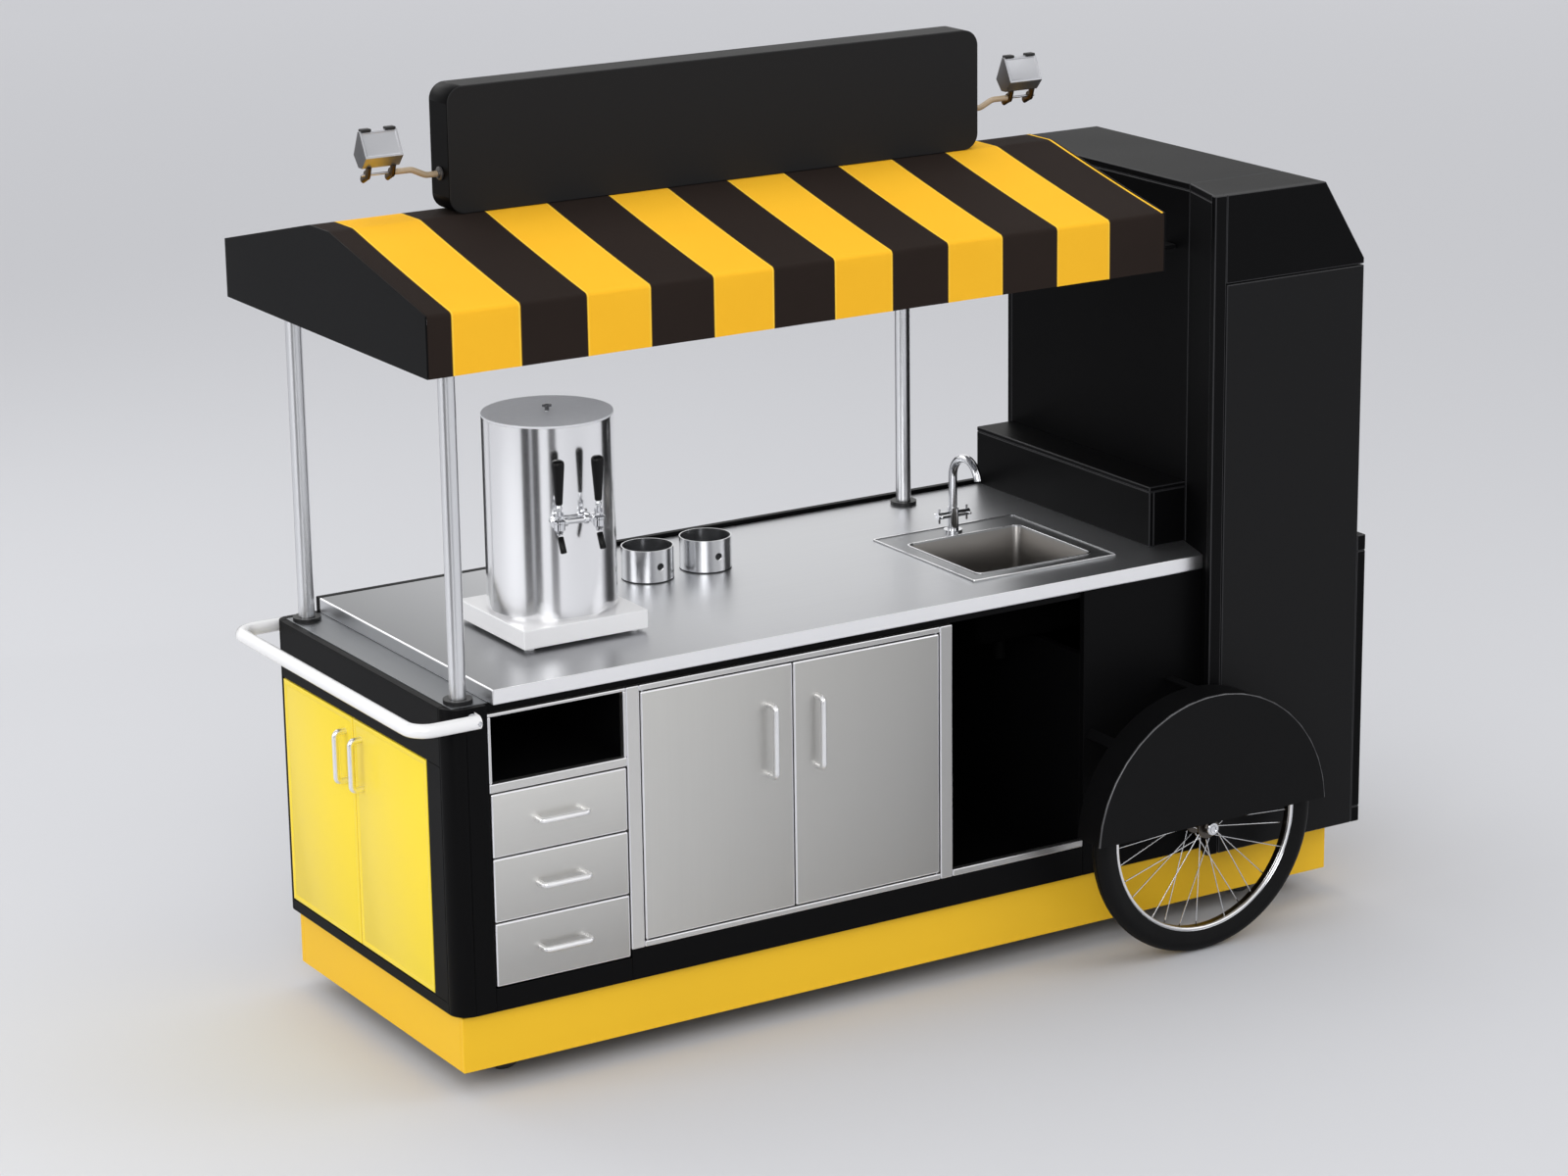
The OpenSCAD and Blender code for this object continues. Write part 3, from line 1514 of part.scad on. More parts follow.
urn_body();
urn_lid();
urn_taps();
tap_lever(-1);  // tap_lever_left
tap_lever(1);  // tap_lever_right
cup_rings();
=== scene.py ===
import math

import bmesh
import bpy
from mathutils import Matrix, Vector


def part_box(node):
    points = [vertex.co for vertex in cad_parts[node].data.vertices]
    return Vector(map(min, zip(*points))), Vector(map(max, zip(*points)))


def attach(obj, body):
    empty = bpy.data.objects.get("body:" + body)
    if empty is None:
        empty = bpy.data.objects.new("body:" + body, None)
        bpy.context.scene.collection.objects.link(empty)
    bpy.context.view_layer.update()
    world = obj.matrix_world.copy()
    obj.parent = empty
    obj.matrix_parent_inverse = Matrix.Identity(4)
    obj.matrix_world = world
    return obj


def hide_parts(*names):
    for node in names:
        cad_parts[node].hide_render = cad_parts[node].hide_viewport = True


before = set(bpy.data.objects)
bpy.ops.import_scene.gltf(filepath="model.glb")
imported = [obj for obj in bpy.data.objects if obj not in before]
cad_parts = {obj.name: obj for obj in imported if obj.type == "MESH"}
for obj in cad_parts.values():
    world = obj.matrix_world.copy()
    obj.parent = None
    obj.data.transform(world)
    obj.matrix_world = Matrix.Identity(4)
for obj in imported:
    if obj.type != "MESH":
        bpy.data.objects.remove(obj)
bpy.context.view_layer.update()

# Camera: stands off the cart's front left corner, a little above the counter, with a long lens.
# Its place, turn and lens are those of the photo.
camera_turn = math.radians(-31.4038)
camera_rise = math.radians(16.1734)
camera_roll = math.radians(-0.8014)
camera_distance = 10.18587
looks_back = Vector((math.sin(camera_turn) * math.cos(camera_rise),
                     -math.cos(camera_turn) * math.cos(camera_rise), math.sin(camera_rise)))
level_right = Vector((math.cos(camera_turn), math.sin(camera_turn), 0))
level_up = looks_back.cross(level_right)
camera_aim = Vector((0, 0, 1.1)) - 0.07358 * level_right - 0.19688 * level_up
bpy.ops.object.select_all(action="DESELECT")
bpy.ops.object.camera_add()
camera = bpy.context.object
camera.data.lens = 97.83
camera.data.sensor_width = 36
camera.data.clip_end = 200
picture_right = math.cos(camera_roll) * level_right + math.sin(camera_roll) * level_up
picture_up = math.cos(camera_roll) * level_up - math.sin(camera_roll) * level_right
camera.matrix_world = Matrix.Translation(camera_aim + camera_distance * looks_back) @ Matrix(
    (picture_right, picture_up, looks_back)).transposed().to_4x4()
bpy.context.scene.camera = camera


# Studio: a pale floor that runs far past the cart, soft lamps overhead and pale air all round.
# Polished metal mirrors a ring of white screens with grey gaps between them.
class Tone:
    """One socket of a finish. Sums and products of tones become Math nodes."""

    def __init__(self, tree, socket=None):
        self.tree = tree
        self.socket = socket

    def node(self, kind, settings=None, inputs=None, output=0):
        made = self.tree.nodes.new(kind)
        for name, value in (settings or {}).items():
            if name == "stops":
                marks = made.color_ramp.elements
                while len(marks) < len(value):
                    marks.new(1)
                for mark, (at, colour) in zip(marks, value):
                    mark.position = at
                    mark.color = colour
            else:
                setattr(made, name, value)
        for name, value in (inputs or {}).items():
            if isinstance(value, Tone):
                self.tree.links.new(value.socket, made.inputs[name])
            else:
                made.inputs[name].default_value = value
        return Tone(self.tree, made.outputs[output])

    def math(self, operation, first, second=0):
        return self.node("ShaderNodeMath", {"operation": operation}, {0: first, 1: second})

    def alone(self, operation):
        return self.node("ShaderNodeMath", {"operation": operation}, {0: self})

    def __add__(self, other):
        return self.math("ADD", self, other)

    def __sub__(self, other):
        return self.math("SUBTRACT", self, other)

    def __rsub__(self, other):
        return self.math("SUBTRACT", other, self)

    def __mul__(self, other):
        return self.math("MULTIPLY", self, other)

    def __gt__(self, other):
        return self.math("GREATER_THAN", self, other)

    def __lt__(self, other):
        return self.math("LESS_THAN", self, other)

    __radd__ = __add__
    __rmul__ = __mul__

    def stretch(self, factors):
        return self.node("ShaderNodeVectorMath", {"operation": "MULTIPLY"}, {0: self, 1: factors})

    def axis(self, letter):
        return self.node("ShaderNodeSeparateXYZ", None, {0: self}, letter)

    def noise(self, scale, detail=2.0):
        return self.node("ShaderNodeTexNoise", None, {"Vector": self, "Scale": scale, "Detail": detail})

    def between(self, first, second):
        return self.node("ShaderNodeMix", {"data_type": "RGBA"}, {0: self, 6: first, 7: second}, 2)

    def bump(self, strength, depth):
        return self.node("ShaderNodeBump", None, {"Height": self, "Strength": strength, "Distance": depth})

    def ramp(self, start, end):
        return self.node("ShaderNodeMapRange", None, {"Value": self, "From Min": start, "From Max": end})

    def feed(self, socket):
        self.tree.links.new(self.socket, socket)


def paint(red, green, blue):
    """A colour as it is seen on screen, 0 to 255, in the form that a shader takes."""
    return tuple(((c / 255 + 0.055) / 1.055) ** 2.4 for c in (red, green, blue)) + (1.0,)


def dim(colour, share):
    """The same colour with a share of its light."""
    return tuple(share * c for c in colour[:3]) + (1.0,)


def start_finish(name, fixed):
    """A new material with these fixed shader values, its shader and the place on the piece."""
    material = bpy.data.materials.new(name)
    material.use_nodes = True
    shader = material.node_tree.nodes["Principled BSDF"]
    for socket, value in fixed.items():
        shader.inputs[socket].default_value = value
    place = Tone(material.node_tree).node("ShaderNodeTexCoord", output="Object")
    return material, shader.inputs, place


def lacquer(name, colour, rough, coat=0.0, peel=0.05, shine=0.5):
    """Sprayed paint: faint clouds in its colour, uneven gloss and a fine orange peel."""
    material, shader, place = start_finish(name, {"Coat Weight": coat, "Coat Roughness": 0.12,
                                                  "Specular IOR Level": shine})
    cloud = place.noise(2.2, 3.0)
    peel_grain = place.noise(260.0)
    cloud.between(dim(colour, 0.92), colour).feed(shader["Base Color"])
    (rough - 0.06 + 0.08 * cloud + 0.06 * peel_grain).feed(shader["Roughness"])
    peel_grain.bump(peel, 0.0006).feed(shader["Normal"])
    return material


def lamp(name, place, aim, width, height, watts):
    bpy.ops.object.select_all(action="DESELECT")
    bpy.ops.object.light_add(type="AREA", location=place)
    light = bpy.context.object
    light.name = name
    light.rotation_euler = (Vector(aim) - Vector(place)).to_track_quat("-Z", "Y").to_euler()
    light.data.shape = "RECTANGLE"
    light.data.size = width
    light.data.size_y = height
    light.data.energy = watts


bpy.context.scene.view_settings.view_transform = "Standard"
bpy.ops.object.select_all(action="DESELECT")
bpy.ops.mesh.primitive_plane_add(size=160, location=(0, 0, -0.0005))
floor = bpy.context.object
floor.name = "studio_floor"
paper, paper_shader, paper_place = start_finish("floor_paper", {"Specular IOR Level": 0.2})
far_off = paper_place.node("ShaderNodeVectorMath", {"operation": "LENGTH"}, {0: paper_place}, "Value")
paper_grain = paper_place.noise(260.0)
# The floor is painted lighter with distance from the cart: painted light that makes up for the lamps' falloff
# far out.
far_off.ramp(3.0, 16.0).between(paint(211, 212, 215), paint(231, 232, 235)).feed(paper_shader["Base Color"])
(0.78 + 0.06 * paper_grain).feed(paper_shader["Roughness"])
floor.data.materials.append(paper)

lamp("key_lamp", (-4.2, -5.4, 4.0), (-0.2, 0, 0.9), 3.4, 3.0, 115)
lamp("left_lamp", (-6.0, 0.4, 2.6), (-1.2, 0, 0.6), 2.6, 2.6, 62)
lamp("side_lamp", (5.0, -3.6, 4.0), (0.3, 0, 0.9), 3.0, 3.0, 50)
lamp("top_lamp", (0.2, 0.4, 6.0), (0, 0, 0), 5.0, 3.0, 75)
lamp("back_lamp", (-1.5, 5.2, 4.2), (0, 0, 1.0), 4.0, 2.5, 45)


def flag(name, bearing_from_lens, width, tone):
    """A dark card on the floor that only polished metal mirrors, so that the urn shows bands."""
    turn = camera_turn - math.pi / 2 + math.radians(bearing_from_lens)
    place = (flag_ring * math.cos(turn) + urn_spot[0], flag_ring * math.sin(turn) + urn_spot[1],
             flag_height / 2)
    bpy.ops.object.select_all(action="DESELECT")
    bpy.ops.mesh.primitive_plane_add(size=1, location=place, rotation=(math.pi / 2, 0, turn + math.pi / 2))
    card = bpy.context.object
    card.name = name
    card.scale = (width, flag_height, 1)
    card.data.materials.append(lacquer(name, tone, 0.9, shine=0.0))
    card.visible_camera = False
    card.visible_diffuse = False
    card.visible_shadow = False
    card.visible_transmission = False


flag_ring = 3.4
flag_height = 1.4
urn_spot = (-0.78, -0.13)
flag("dark_flag", -28, 1.9, paint(70, 70, 72))
flag("grey_flag", 10, 0.75, paint(110, 110, 112))
flag("left_flag", -158, 2.0, paint(60, 60, 62))

air = bpy.data.worlds.new("studio_air")
bpy.context.scene.world = air
air.use_nodes = True
air_socket = air.node_tree.nodes["Background"].inputs
air_tree = Tone(air.node_tree)
seen = air_tree.node("ShaderNodeLightPath", output="Is Camera Ray")
seen = seen + air_tree.node("ShaderNodeLightPath", output="Is Transmission Ray")
mirrored = air_tree.node("ShaderNodeLightPath", output="Is Glossy Ray")
direction = air_tree.node("ShaderNodeTexCoord", output="Generated")
bearing = air_tree.math("ARCTAN2", direction.axis("Y"), direction.axis("X")) * (0.5 / math.pi) + 0.5
grey_gap = (0.16, 0.16, 0.17, 1)
soft_wall = (0.55, 0.55, 0.57, 1)
white_screen = (1.0, 1.0, 1.0, 1)
screens = bearing.node("ShaderNodeValToRGB", {"stops": [
    (0.0, soft_wall), (0.07, white_screen), (0.16, white_screen), (0.19, grey_gap), (0.23, soft_wall),
    (0.27, white_screen), (0.36, white_screen), (0.40, grey_gap), (0.46, soft_wall), (0.52, grey_gap),
    (0.57, white_screen), (0.73, white_screen), (0.76, grey_gap), (0.80, white_screen), (0.87, white_screen),
    (0.90, grey_gap), (0.95, soft_wall), (1.0, soft_wall)]}, {"Fac": bearing})
plain_air = (0.62, 0.63, 0.66, 1)
lit_air = mirrored.between((0.74, 0.74, 0.755, 1), screens)
seen.between(lit_air, plain_air).feed(air_socket["Color"])
air_socket["Strength"].default_value = 1.0


# Chassis, forks and casters: welded square tube with four rubber casters, two of them on swivels.
# They stand behind the plinth, so little of them shows.
def dress(material, *nodes):
    """Gives CAD nodes a finish."""
    for node in nodes:
        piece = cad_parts[node]
        piece.data.materials.clear()
        piece.data.materials.append(material)


def bevel(piece, width, steps, angle, edge_highlight):
    """Bevels the sharp edges; an edge highlight is a finish of its own on the bevel faces, the piece's second
    one, and is a painted highlight.
    """
    arris = piece.modifiers.new("arris", "BEVEL")
    arris.width = width
    arris.segments = steps
    arris.limit_method = "ANGLE"
    arris.angle_limit = math.radians(angle)
    if edge_highlight:
        piece.data.materials.append(edge_highlight)
        arris.material = 1
    return arris


def ease(width, *nodes, edge_highlight=None):
    """Takes the sharp arris off CAD boards and bars; a given edge highlight finish paints a highlight on the
    bevels.
    """
    for node in nodes:
        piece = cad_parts[node]
        joined = piece.modifiers.new("joined", "WELD")
        joined.merge_threshold = 1e-5
        flat = piece.modifiers.new("flat", "DECIMATE")
        flat.decimate_type = "DISSOLVE"
        flat.angle_limit = math.radians(0.5)
        bevel(piece, width, 2, 40, edge_highlight)


def brushed(name, colour, rough, grain, fade=None):
    """Brushed metal; grain stretches the brush lines along the axis with the smallest number.

    Where fade is given, the tone is painted darker along an axis as painted shading: fade gives an axis, two
    places on it and the shaded colour at the second."""
    material, shader, place = start_finish(name, {"Metallic": 1.0})
    lines = place.stretch(grain).noise(1.0, 5.0)
    smudge = place.noise(1.6, 2.0)
    tone = lines.between(dim(colour, 0.95), colour)
    if fade:
        letter, start, end, painted_shade_colour = fade
        tone = place.axis(letter).ramp(start, end).between(tone, painted_shade_colour)
    tone.feed(shader["Base Color"])
    (rough - 0.05 + 0.06 * lines + 0.04 * smudge).feed(shader["Roughness"])
    lines.bump(0.015, 0.0003).feed(shader["Normal"])
    return material


def polished(name, colour, rough):
    """Polished metal with faint wiping marks."""
    material, shader, place = start_finish(name, {"Metallic": 1.0})
    wiping = place.noise(7.0, 2.0)
    wiping.between(dim(colour, 0.97), colour).feed(shader["Base Color"])
    (rough + 0.02 * wiping).feed(shader["Roughness"])
    return material


def moulded(name, colour, rough, shine=0.3):
    """Rubber or moulded plastic: fine pitted skin, dusty in patches."""
    material, shader, place = start_finish(name, {"Specular IOR Level": shine})
    dust = place.noise(14.0, 4.0)
    pits = place.noise(700.0)
    dusty = tuple(min(1.0, 1.5 * c + 0.004) for c in colour[:3]) + (1,)
    dust.between(colour, dusty).feed(shader["Base Color"])
    (rough - 0.05 + 0.12 * dust).feed(shader["Roughness"])
    pits.bump(0.12, 0.0004).feed(shader["Normal"])
    return material


tube_grey = brushed("tube_grey", paint(150, 150, 152), 0.5, (4.0, 160.0, 160.0))
zinc = polished("zinc", paint(190, 190, 195), 0.28)
tread_rubber = moulded("tread_rubber", paint(48, 48, 50), 0.7)
dress(tube_grey, "chassis_frame")
ease(0.002, "chassis_frame")
dress(zinc, "swivel_fork_front", "swivel_fork_back", "fixed_caster_forks")
ease(0.001, "swivel_fork_front", "swivel_fork_back", "fixed_caster_forks")
dress(tread_rubber, "caster_wheel_front_left", "caster_wheel_back_left", "caster_wheel_front_right",
      "caster_wheel_back_right")

# Plinth: four lacquered boards that hide the chassis, set back under the body.
# They are screwed from behind, so no fixing shows.
plinth_yellow = lacquer("plinth_yellow", paint(254, 202, 44), 0.45, shine=0.2)
dress(plinth_yellow, "plinth_skirt")
ease(0.0015, "plinth_skirt")

# Cabinet body: black lacquered boards, with round corner posts and a rim at the left end.
# The niches are lined with the same board.
body_black = lacquer("body_black", paint(11, 11, 12), 0.42, shine=0.06)
# A lighter black for the bevels of black boards: a painted highlight along their edges.
highlight_edge_black = lacquer("highlight_edge_black", paint(44, 44, 46), 0.42, shine=0.3)
dress(body_black, "carcass_panels", "left_end_frame")
ease(0.0015, "carcass_panels", "left_end_frame")

# Steel face frame: square bar round the drawers, doors and niche, brushed along its length.
# Pins for the doors and runners for the drawers sit behind it.
# The frame's steel is painted darker from left to right as painted shading, and its bevels carry a painted
# highlight.
frame_steel = brushed("frame_steel", paint(221, 220, 217), 0.34, (30.0, 200.0, 30.0),
                      ("X", -0.75, 0.10, paint(184, 183, 181)))
# Bright polished steel for the bevels and folds of steel parts: a painted highlight along their edges.
painted_highlight_steel = polished("painted_highlight_steel", paint(247, 247, 249), 0.3)
dress(frame_steel, "front_face_frame")
ease(0.0025, "front_face_frame", edge_highlight=painted_highlight_steel)
dress(zinc, "door_pivots", "drawer_runners")


# Doors and drawer fronts: lacquered boards with a fine bead near the edge at the left end,
# and brushed steel fronts with round folds on the long side, which carry a painted highlight.
# Each has a bent round bar as its pull, screwed on from inside.
def board(name, low, high):
    """A board between two corners, as a new object."""
    bpy.ops.object.select_all(action="DESELECT")
    bpy.ops.mesh.primitive_cube_add(size=1, location=(Vector(low) + Vector(high)) / 2,
                                    scale=Vector(high) - Vector(low))
    made = bpy.context.object
    made.name = made.data.name = name
    bpy.ops.object.transform_apply()
    return made


def pick(piece, test):
    """Picks the faces of the piece in edit mode whose middle and outward direction pass the test."""
    bpy.ops.mesh.select_mode(type="FACE")
    bpy.ops.mesh.select_all(action="DESELECT")
    faces = bmesh.from_edit_mesh(piece.data)
    for face in faces.faces:
        face.select_set(test(face.calc_center_median(), face.normal))
    bmesh.update_edit_mesh(piece.data)


def round_edges(piece, width, steps=2, angle=50, edge_highlight=None):
    """Rounds the sharp edges of a new piece for good; a given edge highlight finish paints a highlight on the
    rounds.
    """
    bpy.ops.object.modifier_apply(modifier=bevel(piece, width, steps, angle, edge_highlight).name)


def settle(piece, material, body, slot, *nodes, smooth=35):
    """Shades a finished piece, gives it its finish and hangs it on its body."""
    bpy.ops.object.select_all(action="DESELECT")
    piece.select_set(True)
    bpy.context.view_layer.objects.active = piece
    bpy.ops.object.shade_smooth_by_angle(angle=math.radians(smooth))
    if not piece.data.materials:
        piece.data.materials.append(material)
    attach(piece, body)
    if nodes:
        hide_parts(*nodes)


def extrude(step):
    """Draws out what is picked in edit mode."""
    bpy.ops.mesh.extrude_region_move(TRANSFORM_OT_translate={"value": step})


def close_up():
    """Turns all faces of the piece in edit mode outward and leaves edit mode."""
    bpy.ops.mesh.select_all(action="SELECT")
    bpy.ops.mesh.normals_make_consistent(inside=False)
    bpy.ops.object.mode_set(mode="OBJECT")


def tube(name, place, heading, ring, legs, sides=16, cap=0.0):
    """A bar drawn from a ring of half widths: runs are extruded and bends are spun.

    A leg is a length, or a bend as radius, axis and degrees. A cap rounds both ends."""
    bpy.ops.object.select_all(action="DESELECT")
    spot = Vector(place)
    way = Vector(heading).normalized()
    bpy.ops.mesh.primitive_circle_add(vertices=sides, radius=1, location=spot,
                                      rotation=way.to_track_quat("Z", "Y").to_euler())
    made = bpy.context.object
    made.name = made.data.name = name
    made.scale = (ring[0], ring[1], 1)
    bpy.ops.object.transform_apply()
    bpy.ops.object.mode_set(mode="EDIT")
    bpy.ops.mesh.select_mode(type="EDGE")
    bpy.ops.mesh.select_all(action="SELECT")
    for leg in legs:
        if isinstance(leg, tuple):
            radius, axis, degrees = leg
            axis = Vector(axis)
            centre = spot + radius * axis.cross(way)
            turn = Matrix.Rotation(math.radians(degrees), 3, axis)
            bpy.ops.mesh.spin(steps=max(3, int(abs(degrees) / 9)), angle=-math.radians(degrees),
                              center=centre, axis=axis)
            spot = centre + turn @ (spot - centre)
            way = turn @ way
        else:
            extrude(leg * way)
            spot = spot + leg * way
    ends = [(spot, way), (Vector(place), -Vector(heading).normalized())]
    bpy.ops.mesh.select_all(action="SELECT")
    bpy.ops.mesh.remove_doubles(threshold=1e-6)
    for spot, way in ends:
        bpy.ops.mesh.select_all(action="DESELECT")
        net = bmesh.from_edit_mesh(made.data)
        for edge in net.edges:
            middle = (edge.verts[0].co + edge.verts[1].co) / 2
            edge.select_set(edge.is_boundary and abs((middle - spot).dot(way)) < 1e-4)
        bmesh.update_edit_mesh(made.data)
        if cap:
            for share, shrink in ((0.45, 0.89), (0.33, 0.74), (0.17, 0.45)):
                extrude(share * cap * way)
                spot = spot + share * cap * way
                bpy.ops.transform.resize(value=(shrink, shrink, shrink), center_override=spot)
        bpy.ops.mesh.edge_face_add()
    close_up()
    return made


def leaf(node, across, out, material, body, slot, pull_middle, pull_way, pull_half, bead):
    """A door or drawer front in place of its CAD node, and its pull.

    A board has a bead near its edge; a folded steel front has round folds instead, painted bright as a
    painted highlight."""
    low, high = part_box(node)
    face = (low if out < 0 else high)[across] - out * leaf_pull_reach
    near = face - out * leaf_thick
    low[across], high[across] = min(face, near), max(face, near)
    slab = board(node + "_leaf", low, high)
    slab.data.materials.append(material)
    if bead:
        bpy.ops.object.mode_set(mode="EDIT")
        pick(slab, lambda middle, normal: normal[across] * out > 0.9)
        bpy.ops.mesh.inset(thickness=bead_from_edge)
        for depth in (-bead_depth, bead_depth):
            bpy.ops.mesh.inset(thickness=bead_width, depth=depth)
        bpy.ops.object.mode_set(mode="OBJECT")
        round_edges(slab, 0.0012)
    else:
        round_edges(slab, 0.0040, 4, edge_highlight=painted_highlight_steel)
    settle(slab, material, body, slot, node)

    outward = Vector((0, 0, 0))
    outward[across] = out
    along = Vector(pull_way)
    first = Vector(pull_middle) - along * pull_half
    first[across] = face - out * pull_sunk
    axis = outward.cross(along)
    ring = pull_ring if abs(along.z) > 0.5 else pull_ring[::-1]
    rise = pull_axis - pull_bend + pull_sunk
    bar = tube(node + "_pull", first, outward, ring,
               [rise, (pull_bend, axis, 90), 2 * (pull_half - pull_bend), (pull_bend, axis, 90), rise])
    settle(bar, pull_steel, body, slot, smooth=50)


leaf_thick = 0.018
leaf_pull_reach = 0.035
bead_from_edge = 0.010
bead_width = 0.0022
bead_depth = 0.0014
pull_axis = 0.0274
pull_bend = 0.011
pull_ring = (0.0070, 0.0074)
pull_sunk = 0.0005
short_pull = 0.059
long_pull = 0.084
pull_edge = 0.038
end_pull_drop = 0.100
front_pull_edge = 0.062
front_pull_drop = 0.174
door_yellow = lacquer("door_yellow", paint(255, 226, 62), 0.35, 0.1, shine=0.2)
pull_steel = polished("pull_steel", paint(250, 250, 251), 0.3)
for node, edge in (("end_door_front", 1), ("end_door_back", 0)):
    door_low, door_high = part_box(node)
    seam = door_high.y - pull_edge if edge else door_low.y + pull_edge
    leaf(node, 0, -1, door_yellow, node, "yellow_board", (0, seam, door_high.z - end_pull_drop), (0, 0, 1),
         short_pull, True)
# The doors' steel is painted darker from left to right: painted shading across both doors.
door_steel = brushed("door_steel", paint(216, 215, 211), 0.42, (260.0, 260.0, 3.0),
                     ("X", -0.73, 0.06, paint(179, 178, 175)))
for node, edge in (("cabinet_door_left", 1), ("cabinet_door_right", 0)):
    door_low, door_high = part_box(node)
    seam = door_high.x - front_pull_edge if edge else door_low.x + front_pull_edge
    leaf(node, 1, -1, door_steel, node, "door_steel", (seam, 0, door_high.z - front_pull_drop), (0, 0, 1),
         long_pull, False)
# The drawer fronts' steel is painted darker towards the bottom: painted shading.
drawer_steel = brushed("drawer_steel", paint(226, 225, 221), 0.42, (3.0, 260.0, 260.0),
                       ("Z", 0.70, 0.30, paint(192, 191, 188)))
for level in ("lower", "middle", "upper"):
    front_low, front_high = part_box("drawer_front_" + level)
    leaf("drawer_front_" + level, 1, -1, drawer_steel, "drawer_" + level, "door_steel",
         (front_low + front_high) / 2, (1, 0, 0), short_pull, False)

# Drawer boxes: birch ply, grooved and glued, behind the steel fronts.
# They are only seen with a drawer drawn out.
birch, birch_shader, birch_place = start_finish("birch", {})
ply_rings = birch_place.stretch((3.0, 40.0, 40.0)).noise(1.0, 6.0)
ply_layers = (330.0 * birch_place.axis("Z")).alone("FRACT") > 0.5
ply_tone = 0.75 * ply_rings + 0.25 * ply_layers
ply_tone.between(paint(214, 182, 136), paint(190, 150, 102)).feed(birch_shader["Base Color"])
(0.5 + 0.15 * ply_rings).feed(birch_shader["Roughness"])
ply_rings.bump(0.1, 0.0004).feed(birch_shader["Normal"])
dress(birch, "drawer_box_lower", "drawer_box_middle", "drawer_box_upper")
ease(0.001, "drawer_box_lower", "drawer_box_middle", "drawer_box_upper")

# Counter and ledge: folded steel sheet over a core, brushed along the cart.
# The ledge is let into the black rim at the left end.
counter_steel, counter_shader, counter_place = start_finish("counter_steel", {"Metallic": 1.0})
counter_lines = counter_place.stretch((2.0, 240.0, 240.0)).noise(1.0, 5.0)
counter_wear = counter_place.noise(1.6, 2.0)
counter_low, counter_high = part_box("countertop")
# The counter's steel is painted darker towards its left end: painted shade.
painted_shade_left = counter_place.axis("X").ramp(-0.45, -1.10)
counter_top = counter_lines.between(paint(198, 199, 202), paint(210, 211, 214))
counter_top = (0.8 * painted_shade_left).between(counter_top, paint(122, 123, 125))
# The counter's left end face is painted lighter: painted light on that face.
painted_light_end_face = counter_place.axis("X") < counter_low.x + 0.0003
counter_top = painted_light_end_face.between(counter_top, paint(214, 215, 217))
# The counter's front edge band is painted near white: a painted highlight.
painted_highlight_band = counter_place.axis("Y") < counter_low.y + 0.0018
painted_highlight_band.between(counter_top, paint(253, 253, 254)).feed(counter_shader["Base Color"])
(0.30 + 0.05 * counter_lines + 0.05 * counter_wear).feed(counter_shader["Roughness"])
counter_lines.bump(0.015, 0.0003).feed(counter_shader["Normal"])
ledge_steel = brushed("ledge_steel", paint(138, 140, 143), 0.4, (240.0, 2.0, 240.0))
dress(counter_steel, "countertop")
# The counter's bevels take the bright steel: a painted highlight along its edges.
ease(0.003, "countertop", edge_highlight=painted_highlight_steel)
dress(ledge_steel, "end_ledge")
ease(0.001, "end_ledge")


# Sink: one bowl pressed from steel sheet, with beads round its rim and mouth, the raised beads painted bright
# as a painted highlight, and its underside painted near black as painted shade.
# A waste cup closes its hole, and a pillar tap with a thick swan neck and cross handles stands on the deck.
def pick_edges(piece, test):
    """Picks the edges of the piece in edit mode whose two ends pass the test."""
    bpy.ops.mesh.select_mode(type="EDGE")
    bpy.ops.mesh.select_all(action="DESELECT")
    edges = bmesh.from_edit_mesh(piece.data)
    for edge in edges.edges:
        edge.select_set(test(edge.verts[0].co, edge.verts[1].co))
    bmesh.update_edit_mesh(piece.data)


def thicken(piece, face, back):
    """Gives a sheet its thickness, with a finish of its own on the back."""
    piece.data.materials.append(face)
    piece.data.materials.append(back)
    sheet = piece.modifiers.new("sheet", "SOLIDIFY")
    sheet.thickness = 0.0012
    sheet.offset = -1
    sheet.material_offset = 1
    bpy.ops.object.modifier_apply(modifier=sheet.name)


chrome = polished("chrome", paint(226, 227, 230), 0.1)
sink_low, sink_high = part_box("sink_bowl")
sink_steel, sink_shader, sink_place = start_finish("sink_steel", {"Metallic": 1.0})
sink_lines = sink_place.stretch((3.0, 200.0, 200.0)).noise(1.0, 5.0)
# The raised beads above the deck are painted bright and made smoother: a painted highlight.
bead_highlight = sink_place.axis("Z") > sink_high.z + 0.0012
sink_inside = sink_place.axis("Z") < sink_high.z - 0.003
sink_tone = sink_lines.between(paint(150, 151, 153), paint(164, 165, 167))
sink_tone = sink_inside.between(sink_tone, paint(156, 153, 150))
bead_highlight.between(sink_tone, paint(242, 242, 244)).feed(sink_shader["Base Color"])
(0.32 - 0.14 * bead_highlight + 0.05 * sink_lines).feed(sink_shader["Roughness"])
sink_lines.bump(0.015, 0.0003).feed(sink_shader["Normal"])
rim_middle = Vector(((sink_low.x + sink_high.x) / 2, (sink_low.y + sink_high.y) / 2, sink_high.z))
rim_size = Vector((sink_high.x - sink_low.x, sink_high.y - sink_low.y, 1))
rim_corner = 0.006
bowl_size = Vector((0.338, 0.322, 1))
bowl_corner = 0.020
bowl_from_front = 0.036
bowl_middle = Vector((rim_middle.x, sink_low.y + bowl_from_front + bowl_size.y / 2, sink_high.z))
bpy.ops.object.select_all(action="DESELECT")
bpy.ops.mesh.primitive_plane_add(size=1, location=rim_middle)
sink = bpy.context.object
sink.name = sink.data.name = "sink_pressing"
bpy.ops.object.transform_apply()
bpy.ops.object.mode_set(mode="EDIT")
bpy.ops.mesh.select_mode(type="VERT")
bpy.ops.mesh.select_all(action="SELECT")
